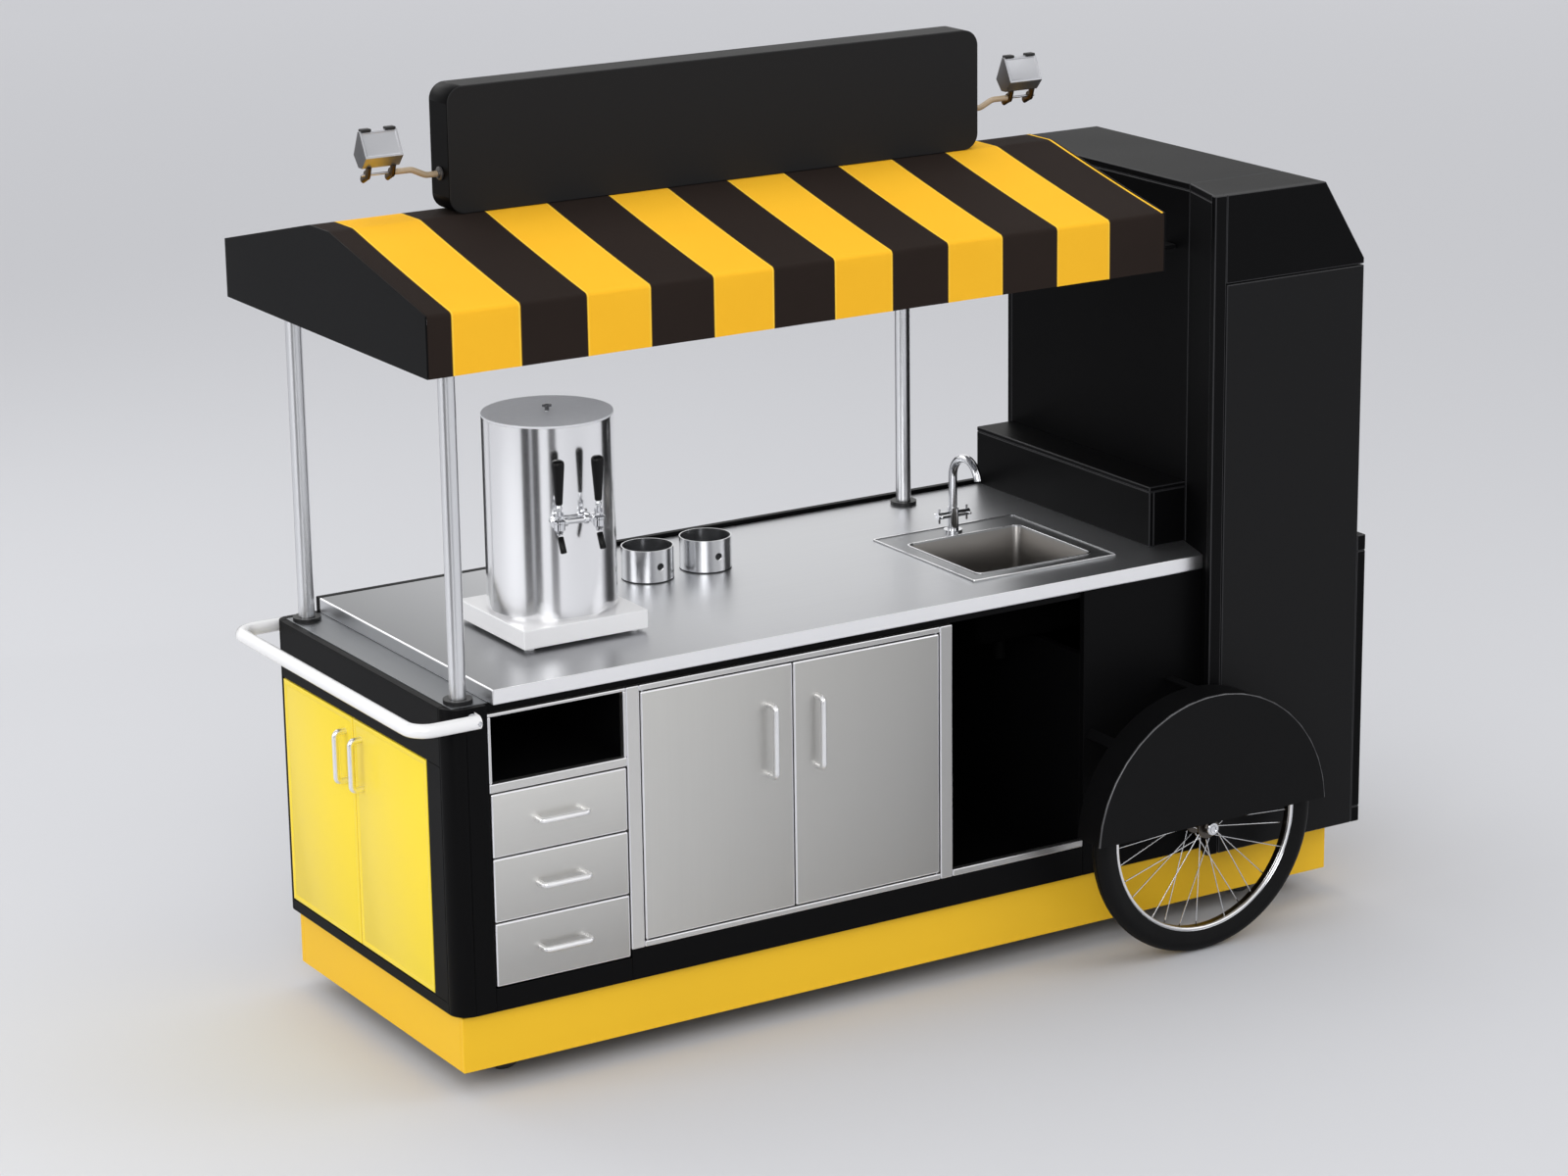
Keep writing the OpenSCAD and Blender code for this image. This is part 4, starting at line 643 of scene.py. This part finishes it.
bpy.ops.transform.resize(value=rim_size, center_override=rim_middle)
bpy.ops.mesh.bevel(offset=rim_corner, segments=5, affect="VERTICES")
bpy.ops.mesh.delete(type="ONLY_FACE")
bpy.ops.mesh.primitive_plane_add(size=1, location=bowl_middle)
bpy.ops.transform.resize(value=bowl_size, center_override=bowl_middle)
bpy.ops.mesh.bevel(offset=bowl_corner, segments=5, affect="VERTICES")
bpy.ops.mesh.delete(type="ONLY_FACE")


def in_bowl(corner):
    """Whether a corner lies inside the outline of the bowl's mouth."""
    off = corner - bowl_middle
    return abs(off.x) < bowl_size.x / 2 + 1e-4 and abs(off.y) < bowl_size.y / 2 + 1e-4


pick_edges(sink, lambda first, second: in_bowl(first) and in_bowl(second))
bowl_depth = sink_high.z - sink_low.z - 0.002
drop, last_share = 0.0, 1.0
for depth, share in ((-0.0020, 0.998), (-0.0026, 0.988), (-0.0022, 0.976), (0.0022, 0.963), (0.100, 0.960),
                     (0.160, 0.956), (0.173, 0.942), (0.180, 0.902), (bowl_depth, 0.82),
                     (bowl_depth + 0.0006, 0.2)):
    extrude((0, 0, drop - depth))
    grown = share / last_share
    bpy.ops.transform.resize(value=(grown, grown, 1), center_override=bowl_middle)
    drop, last_share = depth, share


def on_deck(corner):
    """Whether a corner lies level with the sink's deck."""
    return abs(corner.z - sink_high.z) < 1e-5


pick_edges(sink, lambda first, second: on_deck(first) and on_deck(second))
bpy.ops.mesh.bridge_edge_loops()
pick_edges(sink, lambda first, second: not (in_bowl(first) or in_bowl(second)))
for rise, grown in ((0.0024, 1.0), (0.0, 1.016), (-0.0044, 1.004)):
    extrude((0, 0, rise))
    bpy.ops.transform.resize(value=(grown, grown, 1), center_override=rim_middle)
bpy.ops.mesh.select_all(action="SELECT")
bpy.ops.mesh.normals_make_consistent(inside=False)
net = bmesh.from_edit_mesh(sink.data)
bowl_floor = min(net.faces, key=lambda face: face.calc_center_median().z)
if bowl_floor.normal.z < 0:
    bpy.ops.mesh.flip_normals()
bpy.ops.object.mode_set(mode="OBJECT")
# The bowl's underside is coloured near black: painted shade, so the bowl stays dark inside the niche.
thicken(sink, sink_steel, lacquer("underside_shade_black", paint(4, 4, 4), 0.9, peel=0.3, shine=0.0))
settle(sink, sink_steel, "cart", "steel", "sink_bowl", smooth=40)
waste, waste_shader, waste_place = start_finish("waste_fitting", {"Specular IOR Level": 0.05})
waste_cup = waste_place.axis("Z") > sink_low.z + 0.0015
waste_marks = waste_place.noise(40.0)
waste_cup.between(paint(4, 4, 4), paint(214, 215, 218)).feed(waste_shader["Base Color"])
waste_cup.feed(waste_shader["Metallic"])
(0.6 - 0.45 * waste_cup + 0.08 * waste_marks).feed(waste_shader["Roughness"])
dress(waste, "sink_waste")
dress(chrome, "faucet_body", "faucet_handle_left", "faucet_handle_right")
spout_low, spout_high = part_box("faucet_spout")
spout_collar = 0.011
spout_bend = 0.056
neck_ring = 0.0106
neck_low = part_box("faucet_body")[1].z + 0.0004
bend_below_top = 0.054
neck_rise = spout_high.z - bend_below_top - neck_low
neck = tube("faucet_spout_neck", ((spout_low.x + spout_high.x) / 2, spout_high.y - spout_collar, neck_low),
            (0, 0, 1), (neck_ring, neck_ring), [neck_rise, (spout_bend, (1, 0, 0), 165), 0.004], sides=24)
settle(neck, chrome, "faucet_spout", "chrome", "faucet_spout", smooth=50)

# Splash box and tower: black lacquered boards, screwed together from inside, with a painted highlight along
# their bevelled edges.
# The panel on the tower's front has a slightly grained coat.
tower_black = lacquer("tower_black", paint(22, 22, 23), 0.46, peel=0.3, shine=0.12)
roof_black = lacquer("roof_black", paint(11, 11, 12), 0.45, shine=0.05)
dress(body_black, "splash_box", "tower_front_frame")
dress(roof_black, "tower_carcass")
dress(tower_black, "tower_front_panel")
ease(0.0025, "splash_box", "tower_carcass", "tower_front_frame", "tower_front_panel", edge_highlight=highlight_edge_black)

# End hatch: a black board hung on pins in a raised frame on the right end.
# It has the same bead and pull as the other doors.
hatch_low, hatch_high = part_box("end_hatch")
leaf("end_hatch", 0, 1, tower_black, "end_hatch", "black_board",
     (0, hatch_low.y + pull_edge, (hatch_low.z + hatch_high.z) / 2), (0, 0, 1), short_pull, True)

# Posts and canopy frame: polished steel tubes, screwed down by black flanges, carry the canopy.
# Its frame is welded from black square tube, with two ties to the tower.
frame_black = lacquer("frame_black", paint(22, 22, 23), 0.45, shine=0.2)
post_finish, post_shader, post_place = start_finish("post_finish", {})
post_x, post_z = post_place.axis("X"), post_place.axis("Z")
flange_thick = 0.0096
post_flange = post_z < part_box("canopy_posts")[0].z + flange_thick
post_flange = post_flange + (post_x > 0.0) * (post_z < counter_high.z + flange_thick)
post_marks = post_place.noise(7.0, 2.0)
post_bare = 1.0 - (post_flange > 0.5)
post_bare.between(paint(20, 20, 21), paint(232, 233, 235)).feed(post_shader["Base Color"])
post_bare.feed(post_shader["Metallic"])
(0.42 - 0.14 * post_bare + 0.03 * post_marks).feed(post_shader["Roughness"])
dress(post_finish, "canopy_posts")
dress(frame_black, "canopy_frame")
ease(0.0015, "canopy_frame")

# Gables: black lacquered plates that close the canopy's ends.
# They are fixed to the end rafters of its frame.
dress(body_black, "canopy_gables")
ease(0.001, "canopy_gables")

# Sign box: a bare black box with rounded corners, bolted along the canopy's ridge.
# Its faces are let into a bent rim.
sign_black = lacquer("sign_black", paint(28, 28, 29), 0.5, shine=0.16)
# The rim is painted a darker black than the faces, as painted shade on the box's ends and top edge.
sign_rim = lacquer("sign_rim", paint(9, 9, 10), 0.36, shine=0.03)
dress(sign_black, "sign_panels")
dress(sign_rim, "sign_frame")
ease(0.002, "sign_frame", "sign_panels")


# Lights: a small case on each end of the sign, tilting on a pin between two cast lugs.
# A bent arm holds the pin, and a round flange screws the arm to the sign.
def draw_line(name, spots):
    """A new piece in edit mode: so far only a line through the spots."""
    bpy.ops.object.select_all(action="DESELECT")
    bpy.ops.mesh.primitive_plane_add(size=0.01)
    made = bpy.context.object
    made.name = made.data.name = name
    bpy.ops.object.mode_set(mode="EDIT")
    bpy.ops.mesh.select_mode(type="VERT")
    bpy.ops.mesh.select_all(action="SELECT")
    bpy.ops.mesh.merge(type="CENTER")
    bpy.ops.transform.translate(value=spots[0])
    for before, after in zip(spots, spots[1:]):
        extrude(Vector(after) - Vector(before))
    bpy.ops.mesh.select_all(action="SELECT")
    return made


def turned(name, place, axis, profile, steps=40):
    """A piece turned on a lathe: the profile gives radius and height along the axis."""
    made = draw_line(name, [(radius, 0, height) for radius, height in profile])
    bpy.ops.mesh.spin(steps=steps, angle=2 * math.pi, center=(0, 0, 0), axis=(0, 0, 1))
    bpy.ops.mesh.select_all(action="SELECT")
    bpy.ops.mesh.remove_doubles(threshold=1e-6)
    close_up()
    made.data.transform(Matrix.Translation(place) @ Vector(axis).to_track_quat("Z", "Y").to_matrix().to_4x4())
    return made


def section(name, corners, along, depth):
    """A bar with the outline of the corners, drawn out along a direction."""
    made = draw_line(name, corners)
    bpy.ops.mesh.edge_face_add()
    extrude(depth * Vector(along))
    close_up()
    return made


lamp_silver = brushed("lamp_silver", paint(186, 187, 191), 0.45, (60.0, 200.0, 200.0))
lamp_end = brushed("lamp_end", paint(112, 112, 114), 0.5, (200.0, 60.0, 200.0))
clip_black = moulded("clip_black", paint(24, 24, 25), 0.5)
bronze = polished("bronze", paint(84, 70, 52), 0.34)
arm_tan = lacquer("arm_tan", paint(176, 156, 128), 0.35, 0.2)
flange_dark = lacquer("flange_dark", paint(60, 58, 58), 0.35)
sign_low, sign_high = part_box("sign_frame")
tilt_z = sign_low.z + 0.104
light_reach = 0.150
case_half = 0.046
lug_side = 0.030
arm_drop = 0.016
for side, out in (("left", -1), ("right", 1)):
    body = "light_head_" + side
    end_x = sign_low.x if out < 0 else sign_high.x
    tilt_x = end_x + out * light_reach
    case = section("light_case_" + side, [(tilt_x - case_half, y, tilt_z + z) for y, z in (
        (-0.031, 0.041), (-0.009, 0.016), (0.009, 0.016), (0.031, 0.042), (0.006, 0.097), (-0.002, 0.097))],
        (1, 0, 0), 2 * case_half)
    bpy.ops.object.mode_set(mode="EDIT")
    pick(case, lambda middle, normal: normal.y < -0.8)
    bpy.ops.mesh.inset(thickness=0.005)
    bpy.ops.mesh.inset(thickness=0.001, depth=-0.0015)
    bpy.ops.object.mode_set(mode="OBJECT")
    case.data.materials.append(lamp_silver)
    case.data.materials.append(lamp_end)
    for face in case.data.polygons:
        face.material_index = 1 if abs(face.normal.x) > 0.9 else 0
    round_edges(case, 0.003, 3, 25)
    settle(case, lamp_silver, body, "lamp_grey", body)
    for number, lug_x in (("1", tilt_x - lug_side), ("2", tilt_x + lug_side)):
        clip = board("light_clip_%s_%s" % (side, number), (lug_x - 0.012, -0.007, tilt_z + 0.0950),
                     (lug_x + 0.012, 0.011, tilt_z + 0.1020))
        round_edges(clip, 0.002)
        settle(clip, clip_black, body, "black_metal")
        lug = turned("light_lug_%s_%s" % (side, number), (lug_x - 0.004, 0, tilt_z), (1, 0, 0),
                     [(0.0034, 0), (0.0100, 0), (0.0110, 0.001), (0.0110, 0.007), (0.0100, 0.008),
                      (0.0034, 0.008), (0.0034, 0)])
        settle(lug, bronze, body, "black_metal")
        leg = tube("light_leg_%s_%s" % (side, number), (lug_x, -0.010, tilt_z + 0.018), (0, 0.35, -1),
                   (0.0060, 0.0085), [0.014, (0.016, (1, 0, 0), 45), 0.022, (0.009, (1, 0, 0), -85), 0.012])
        settle(leg, bronze, body, "black_metal", smooth=50)
    arm = tube("light_arm_" + side, (end_x, 0, tilt_z - arm_drop), (out, 0, 0), (0.007, 0.007),
               [0.030, (0.030, (0, -out, 0), 25), 0.0246, (0.030, (0, out, 0), 25), 0.036])
    settle(arm, arm_tan, "cart", "arm_tan", *(["light_arms"] if out < 0 else []), smooth=50)
    pin = tube("light_pin_" + side, (tilt_x - out * 0.036, 0, tilt_z), (out, 0, 0), (0.003, 0.003),
               [0.078], cap=0.002)
    settle(pin, zinc, "cart", "arm_tan", smooth=50)
    flange = turned("light_flange_" + side, (end_x, 0, tilt_z - arm_drop), (out, 0, 0),
                    [(0.0, 0.0), (0.0150, 0.0), (0.0160, 0.001), (0.0155, 0.004), (0.0140, 0.0052),
                     (0.0110, 0.0056), (0.0095, 0.0090), (0.0, 0.0090)])
    settle(flange, flange_dark, "cart", "black_metal")

# Canopy cloth: striped woven cloth, sewn from strips and stretched over the frame as one sheet.
# Its lower edges hang as a valance with a turned hem, and the cloth sags a little between the rafters.
cloth_low, cloth_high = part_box("canopy_cover")
eave_z = 1.815
ridge_half = 0.0465
strip_widths = (0.167, 0.160, 0.160, 0.156, 0.156, 0.156, 0.155, 0.148, 0.150, 0.150, 0.149, 0.148)
seam_lines = [-1.207]
for width in strip_widths:
    seam_lines.append(seam_lines[-1] + width)
columns = [cloth_low.x]
for before, after in zip(seam_lines, seam_lines[1:]):
    columns += [before, (before + after) / 2]
columns += [seam_lines[-1], cloth_high.x]
hem = 0.0035
hem_turn = 0.016
fold_round = 0.008
slope_sag, slope_slack = 0.0022, 0.0014
hem_slack, hem_wave = 0.0012, 0.0006
front_half = [(cloth_low.y + hem, cloth_low.z + hem_turn), (cloth_low.y + hem, cloth_low.z),
              (cloth_low.y, cloth_low.z), (cloth_low.y, eave_z), (-ridge_half, cloth_high.z)]
back_half = [(-y, z) for y, z in reversed(front_half)]
cloth = draw_line("canopy_cloth", [(cloth_low.x, y, z) for y, z in front_half + back_half])
bpy.ops.mesh.select_mode(type="EDGE")
bpy.ops.mesh.select_all(action="SELECT")
for before, after in zip(columns, columns[1:]):
    extrude((after - before, 0, 0))


def strip_at(x):
    """How many strips of cloth lie left of this place, from the first seam on."""
    number = max(0, sum(x > seam for seam in seam_lines[1:-1]))
    return number + (x - seam_lines[number]) / strip_widths[number]


def at_fold(corner):
    """Whether a corner lies on a fold of the cloth, at the eave or at the ridge."""
    at_eave = abs(corner.z - eave_z) < 1e-5
    at_ridge = abs(corner.z - cloth_high.z) < 1e-5
    return at_eave or at_ridge


pick_edges(cloth, lambda first, second: abs(first.x - second.x) > 1e-4 and at_fold(first) and at_fold(second))
bpy.ops.mesh.bevel(offset=fold_round, segments=4, affect="EDGES")
pick_edges(cloth, lambda first, second: abs(first.x - second.x) < 1e-5 and (first - second).length > 0.08)
bpy.ops.mesh.subdivide(number_cuts=6)
net = bmesh.from_edit_mesh(cloth.data)
for corner in net.verts:
    y, z = abs(corner.co.y), corner.co.z
    along = strip_at(corner.co.x)
    slack = 0.5 - 0.5 * math.cos(2 * math.pi * along)
    if z > eave_z + 0.006 and y > ridge_half:
        slope = (y - ridge_half) / (cloth_high.y - ridge_half)
        corner.co.z -= 4 * slope * (1 - slope) * (slope_sag + slope_slack * slack)
    elif z < eave_z - 0.012:
        hang = (eave_z - z) / (eave_z - cloth_low.z)
        swing = hem_slack * slack + hem_wave * math.sin(2.7 * along)
        corner.co.y -= math.copysign(1, corner.co.y) * hang * swing
bmesh.update_edit_mesh(cloth.data)
close_up()
striped, striped_shader, striped_place = start_finish("striped_cloth", {"Specular IOR Level": 0.06})
strip = striped_place.node("ShaderNodeAttribute", {"attribute_name": "strip"}, None, "Fac")
yellow_strip = (0.5 * strip).alone("FRACT") < 0.5
end_below_eave = (strip > len(strip_widths)) * (striped_place.axis("Z") < eave_z)
yellow_strip = yellow_strip - end_below_eave
from_middle = (strip.alone("FRACT") - 0.5).alone("ABSOLUTE")
near_seam = from_middle > 0.490
# A raised welt along the yellow side of each seam: bumped up, and painted a paler yellow as a painted
# highlight on it.
welt_and_highlight = (from_middle > 0.468) * (from_middle < 0.490) * yellow_strip
fade = striped_place.noise(3.0, 3.0)
warp = (4200.0 * striped_place.axis("X")).alone("SINE")
weft = (4200.0 * (striped_place.axis("Y") + striped_place.axis("Z"))).alone("SINE")
yellow_dye = fade.between(paint(245, 182, 40), paint(251, 192, 48))
dark_dye = fade.between(paint(36, 29, 26), paint(44, 36, 32))
dyed = yellow_strip.between(dark_dye, yellow_dye)
highlighted_dye = (0.6 * welt_and_highlight).between(dyed, paint(255, 214, 78))
(0.7 * near_seam).between(highlighted_dye, paint(44, 34, 26)).feed(striped_shader["Base Color"])
(0.72 + 0.1 * fade).feed(striped_shader["Roughness"])
(warp * weft + near_seam + 0.8 * welt_and_highlight).bump(0.25, 0.0005).feed(striped_shader["Normal"])
coated, coated_shader, coated_place = start_finish("coated_back", {"Specular IOR Level": 0.1})
coat_cloud = coated_place.noise(5.0, 3.0)
coat_cloud.between(paint(176, 177, 181), paint(188, 189, 193)).feed(coated_shader["Base Color"])
(0.8 + 0.1 * coat_cloud).feed(coated_shader["Roughness"])
thicken(cloth, striped, coated)
strip_mark = cloth.data.attributes.new("strip", "FLOAT", "POINT")
strip_mark.data.foreach_set("value", [strip_at(corner.co.x) for corner in cloth.data.vertices])
settle(cloth, striped, "cart", "cloth", "canopy_cover", smooth=60)

# Push handle: one bent tube round the left end, lacquered white, with rounded ends.
# A stud and a dome bolt fix each arm to the body.
handle_white = lacquer("handle_white", paint(247, 247, 247), 0.2, 0.5)
handle_low, handle_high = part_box("push_handle")
handle_ring = 0.016
handle_bend = 0.048
handle_y = handle_high.y - handle_ring
handle_z = (handle_low.z + handle_high.z) / 2
arm_end = handle_high.x - handle_ring
arm_run = arm_end - (handle_low.x + handle_ring + handle_bend)
handle = tube("push_handle_tube", (arm_end, -handle_y, handle_z), (-1, 0, 0), (handle_ring, handle_ring),
              [arm_run, (handle_bend, (0, 0, -1), 90), 2 * (handle_y - handle_bend),
               (handle_bend, (0, 0, -1), 90), arm_run], sides=28, cap=handle_ring)
settle(handle, handle_white, "cart", "white_handle", "push_handle", smooth=50)
body_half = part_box("left_end_frame")[1].y
bolt_x = arm_end - 0.006
for side, out in (("front", -1), ("back", 1)):
    stud = turned("handle_stud_" + side, (bolt_x, out * body_half, handle_z), (0, out, 0),
                  [(0, 0), (0.0130, 0), (0.0130, 0.0015), (0.0085, 0.0025), (0.0085, 0.0150), (0, 0.0150)])
    settle(stud, chrome, "cart", "chrome")
    bolt = turned("handle_bolt_" + side, (bolt_x, out * (handle_y + handle_ring - 0.0006), handle_z),
                  (0, out, 0),
                  [(0, -0.002), (0.0055, -0.002), (0.0055, 0.0006), (0.0040, 0.0022), (0, 0.0028)])
    settle(bolt, chrome, "cart", "chrome")

# Big wheels: chromed rims with rolled edges, laced to their hubs with wire spokes.
# They run on stub axles from the body, each held by a cap.
# The black tyres lap over the rims and have two grooves round the tread.
tyre_black = moulded("tyre_black", paint(8, 8, 9), 0.5, shine=0.12)
wheel_low, wheel_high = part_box("wheel_front")
wheel_steel, wheel_shader, wheel_place = start_finish("wheel_steel", {"Metallic": 1.0})
from_hub_x = wheel_place.axis("X") - (wheel_low.x + wheel_high.x) / 2
from_hub_z = wheel_place.axis("Z") - (wheel_low.z + wheel_high.z) / 2
from_hub = (from_hub_x * from_hub_x + from_hub_z * from_hub_z).alone("SQRT")
rim_inside = 0.250
rim_face = 0.5885
hub_flange = 0.0315
rim_well = (from_hub > rim_inside) * (wheel_place.axis("Y").alone("ABSOLUTE") < rim_face)
dull_steel = rim_well + (from_hub < hub_flange)
wheel_marks = wheel_place.noise(7.0, 2.0)
dull_steel.between(paint(226, 227, 230), paint(88, 83, 78)).feed(wheel_shader["Base Color"])
(0.12 + 0.18 * dull_steel + 0.02 * wheel_marks).feed(wheel_shader["Roughness"])
dress(wheel_steel, "wheel_front", "wheel_back")
dress(chrome, "wheel_axles")
tyre_height = 0.0457
roll_radius, roll_out, roll_wire = 0.2612, 0.0130, 0.0045
roll_turns = [step * math.pi / 5 for step in range(11)]
cap_seat = 0.6205
for side, out in (("front", -1), ("back", 1)):
    tyre_low, tyre_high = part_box("tyre_" + side)
    hub = (tyre_low + tyre_high) / 2
    tread = (tyre_high.z - tyre_low.z) / 2
    bead = tread - tyre_height
    half = (tyre_high.y - tyre_low.y) / 2
    outline = [(bead, -0.30 * half), (bead, -0.655 * half), (bead - 0.0085, -0.655 * half),
               (bead - 0.0085, -0.69 * half), (bead - 0.0060, -0.74 * half), (bead + 0.014, -0.92 * half),
               (bead + 0.024, -half), (bead + 0.033, -0.90 * half), (bead + 0.040, -0.66 * half),
               (bead + 0.0436, -0.40 * half), (bead + 0.0446, -0.30 * half), (bead + 0.0430, -0.27 * half),
               (bead + 0.0430, -0.20 * half), (bead + 0.0455, -0.17 * half)]
    outline = outline + [(radius, -across) for radius, across in reversed(outline)] + outline[:1]
    tyre = turned("tyre_%s_tread" % side, hub, (0, 1, 0), outline, 96)
    settle(tyre, tyre_black, "wheel_" + side, "tyre", "tyre_" + side, smooth=50)
    rim_edge = turned("rim_edge_" + side, hub, (0, out, 0), [
        (roll_radius + roll_wire * math.cos(turn), roll_out + roll_wire * math.sin(turn))
        for turn in roll_turns], 96)
    settle(rim_edge, pull_steel, "wheel_" + side, "chrome", smooth=60)
    cap = turned("axle_cap_" + side, (hub.x, out * cap_seat, hub.z), (0, out, 0), [
        (0.0050, 0), (0.0150, 0), (0.0160, 0.001), (0.0160, 0.005), (0.0148, 0.0066), (0.0096, 0.0070),
        (0.0082, 0.0056), (0.0082, 0.0024), (0.0050, 0.0024), (0.0050, 0)], 28)
    settle(cap, chrome, "cart", "chrome")

# Fenders: half drums of black sheet, held off the body by three tabs each.
# A thin bright wire is rolled into the front edge.
fender_black = lacquer("fender_black", paint(14, 14, 15), 0.42, shine=0.1)
dress(fender_black, "wheel_fenders")
edge_wire = brushed("edge_wire", paint(104, 104, 106), 0.4, (40.0, 40.0, 40.0))
fender_radius = 0.3360
fender_lift = 0.018
fender_from = math.asin(fender_lift / fender_radius)
wire_ring = 0.0035
wire_in = 0.0037
fender_low, fender_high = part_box("wheel_fenders")
for side, out in (("front", -1), ("back", 1)):
    face_y = (fender_high.y if out > 0 else fender_low.y) - out * wire_in
    wire = tube("fender_wire_" + side,
                (hub.x - fender_radius * math.cos(fender_from), face_y, hub.z + fender_lift),
                (math.sin(fender_from), 0, math.cos(fender_from)), (wire_ring, wire_ring),
                [(fender_radius, (0, 1, 0), 180 - 2 * math.degrees(fender_from))], sides=10)
    settle(wire, edge_wire, "cart", "black_metal", smooth=50)


# Urn: a polished steel drum on a bright slab with feet, with a loose flat lid.
# Two taps on a cross pipe carry tapered black levers.
def fix_tap(piece, finish, body, slot, *nodes, smooth=35):
    """Turns a piece of the taps as the urn stands, and settles it."""
    piece.data.transform(urn_turn)
    settle(piece, finish, body, slot, *nodes, smooth=smooth)


urn_steel = polished("urn_steel", paint(251, 251, 252), 0.15)
lid_steel, lid_shader, lid_place = start_finish("lid_steel", {"Specular IOR Level": 0.3})
lid_knob = lid_place.axis("Z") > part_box("urn_lid")[1].z - 0.0155
lid_rings = lid_place.noise(60.0, 4.0)
lid_tone = lid_rings.between(paint(226, 227, 230), paint(236, 237, 240))
lid_knob.between(lid_tone, paint(120, 120, 122)).feed(lid_shader["Base Color"])
lid_knob.feed(lid_shader["Metallic"])
(0.42 + 0.1 * lid_rings - 0.2 * lid_knob).feed(lid_shader["Roughness"])
base_steel = lacquer("base_steel", paint(253, 253, 254), 0.3, 0.3)
grip_black = lacquer("grip_black", paint(8, 8, 9), 0.3, shine=0.2)
dress(urn_steel, "urn_body")
dress(lid_steel, "urn_lid")
dress(base_steel, "urn_base")
ease(0.002, "urn_base")
urn_low, urn_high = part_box("urn_body")
urn_x = (urn_low.x + urn_high.x) / 2
urn_y = (urn_low.y + urn_high.y) / 2
tap_reach = 0.188
tap_height = 0.262
lever_y = urn_y - tap_reach
lever_z = urn_low.z + tap_height
tap_side = 0.047
pipe_drop = 0.023
pipe_back = 0.0225
barrel_drop = 0.042
ear_side, ear_half = 0.0075, 0.0015
urn_turn = (Matrix.Translation((urn_x, urn_y, 0)) @ Matrix.Rotation(math.radians(-8), 4, "Z")
            @ Matrix.Translation((-urn_x, -urn_y, 0)))
for side, out in (("left", -1), ("right", 1)):
    lever_x = urn_x + out * tap_side
    lever = "tap_lever_" + side
    grip = turned(lever + "_grip", (lever_x, lever_y, lever_z), (0, 0, 1), [
        (0, 0.0240), (0.0070, 0.0240), (0.0082, 0.0255), (0.0096, 0.0450), (0.0118, 0.0760), (0.0140, 0.1050),
        (0.0146, 0.1150), (0.0142, 0.1205), (0.0120, 0.1243), (0.0078, 0.1266), (0, 0.1272)], 28)
    fix_tap(grip, grip_black, lever, "black_grip", lever)
    stem = turned(lever + "_stem", (lever_x, lever_y, lever_z), (0, 0, 1), [
        (0, -0.0045), (0.0035, -0.0045), (0.0048, -0.0030), (0.0048, 0.0100), (0.0062, 0.0120),
        (0.0070, 0.0140), (0.0070, 0.0190), (0.0058, 0.0210), (0.0058, 0.0245), (0, 0.0245)], 24)
    fix_tap(stem, chrome, lever, "chrome")
    barrel = turned("urn_tap_barrel_" + side, (lever_x, lever_y, lever_z - barrel_drop), (0, 0, 1), [
        (0, 0), (0.0070, 0), (0.0088, 0.003), (0.0100, 0.006), (0.0126, 0.008), (0.0126, 0.023),
        (0.0142, 0.025), (0.0142, 0.029), (0.0116, 0.032), (0.0085, 0.0335), (0, 0.0335)], 28)
    fix_tap(barrel, chrome, "cart", "chrome", *(["urn_taps"] if out < 0 else []))
    for cheek, across in (("inner", -1), ("outer", 1)):
        ear_x = lever_x + across * ear_side
        ear = board("urn_tap_ear_%s_%s" % (side, cheek),
                    (ear_x - ear_half, lever_y - 0.006, lever_z - 0.0105),
                    (ear_x + ear_half, lever_y + 0.006, lever_z + 0.006))
        round_edges(ear, 0.0012)
        fix_tap(ear, chrome, "cart", "chrome")
    shank = turned("urn_tap_shank_" + side, (lever_x, lever_y, lever_z - pipe_drop), (0, 1, 0), [
        (0, 0), (0.0085, 0), (0.0085, 0.014), (0.0135, 0.016), (0.0135, 0.022), (0.0085, 0.024),
        (0.0085, 0.0465), (0, 0.0465)], 24)
    fix_tap(shank, chrome, "cart", "chrome")
    spout = tube("urn_tap_spout_" + side, (lever_x, lever_y, lever_z - 0.038), (0, -0.10, -1),
                 (0.0064, 0.0064), [0.008, (0.012, (1, 0, 0), -25), 0.003])
    fix_tap(spout, chrome, "cart", "chrome", smooth=50)
    tip = tube("urn_tap_tip_" + side, (lever_x, lever_y - 0.0036, lever_z - 0.0510), (0, -0.62, -1),
               (0.0072, 0.0072), [0.036], cap=0.0015)
    fix_tap(tip, grip_black, "cart", "black_grip", smooth=50)
pipe = turned("urn_tap_pipe", (urn_x - tap_side, lever_y + pipe_back, lever_z - pipe_drop), (1, 0, 0), [
    (0, 0), (0.0066, 0), (0.0066, 0.016), (0.0105, 0.018), (0.0105, 0.026), (0.0066, 0.028), (0.0066, 0.066),
    (0.0105, 0.068), (0.0105, 0.076), (0.0066, 0.078), (0.0066, 0.094), (0, 0.094)], 24)
fix_tap(pipe, chrome, "cart", "chrome")

# Cups: two open cups of spun steel with a hole in the side, standing on the counter.
# The lowest edge is dull and painted dark: painted shade where the cups stand on the counter.
cup_steel, cup_shader, cup_place = start_finish("cup_steel", {"Metallic": 1.0})
cup_marks = cup_place.noise(30.0)
cup_foot_shade = cup_place.axis("Z") < counter_high.z + 0.0032
cup_foot_shade.between(paint(214, 215, 217), paint(60, 60, 61)).feed(cup_shader["Base Color"])
(0.18 + 0.05 * cup_marks + 0.3 * cup_foot_shade).feed(cup_shader["Roughness"])
dress(cup_steel, "cup_rings")
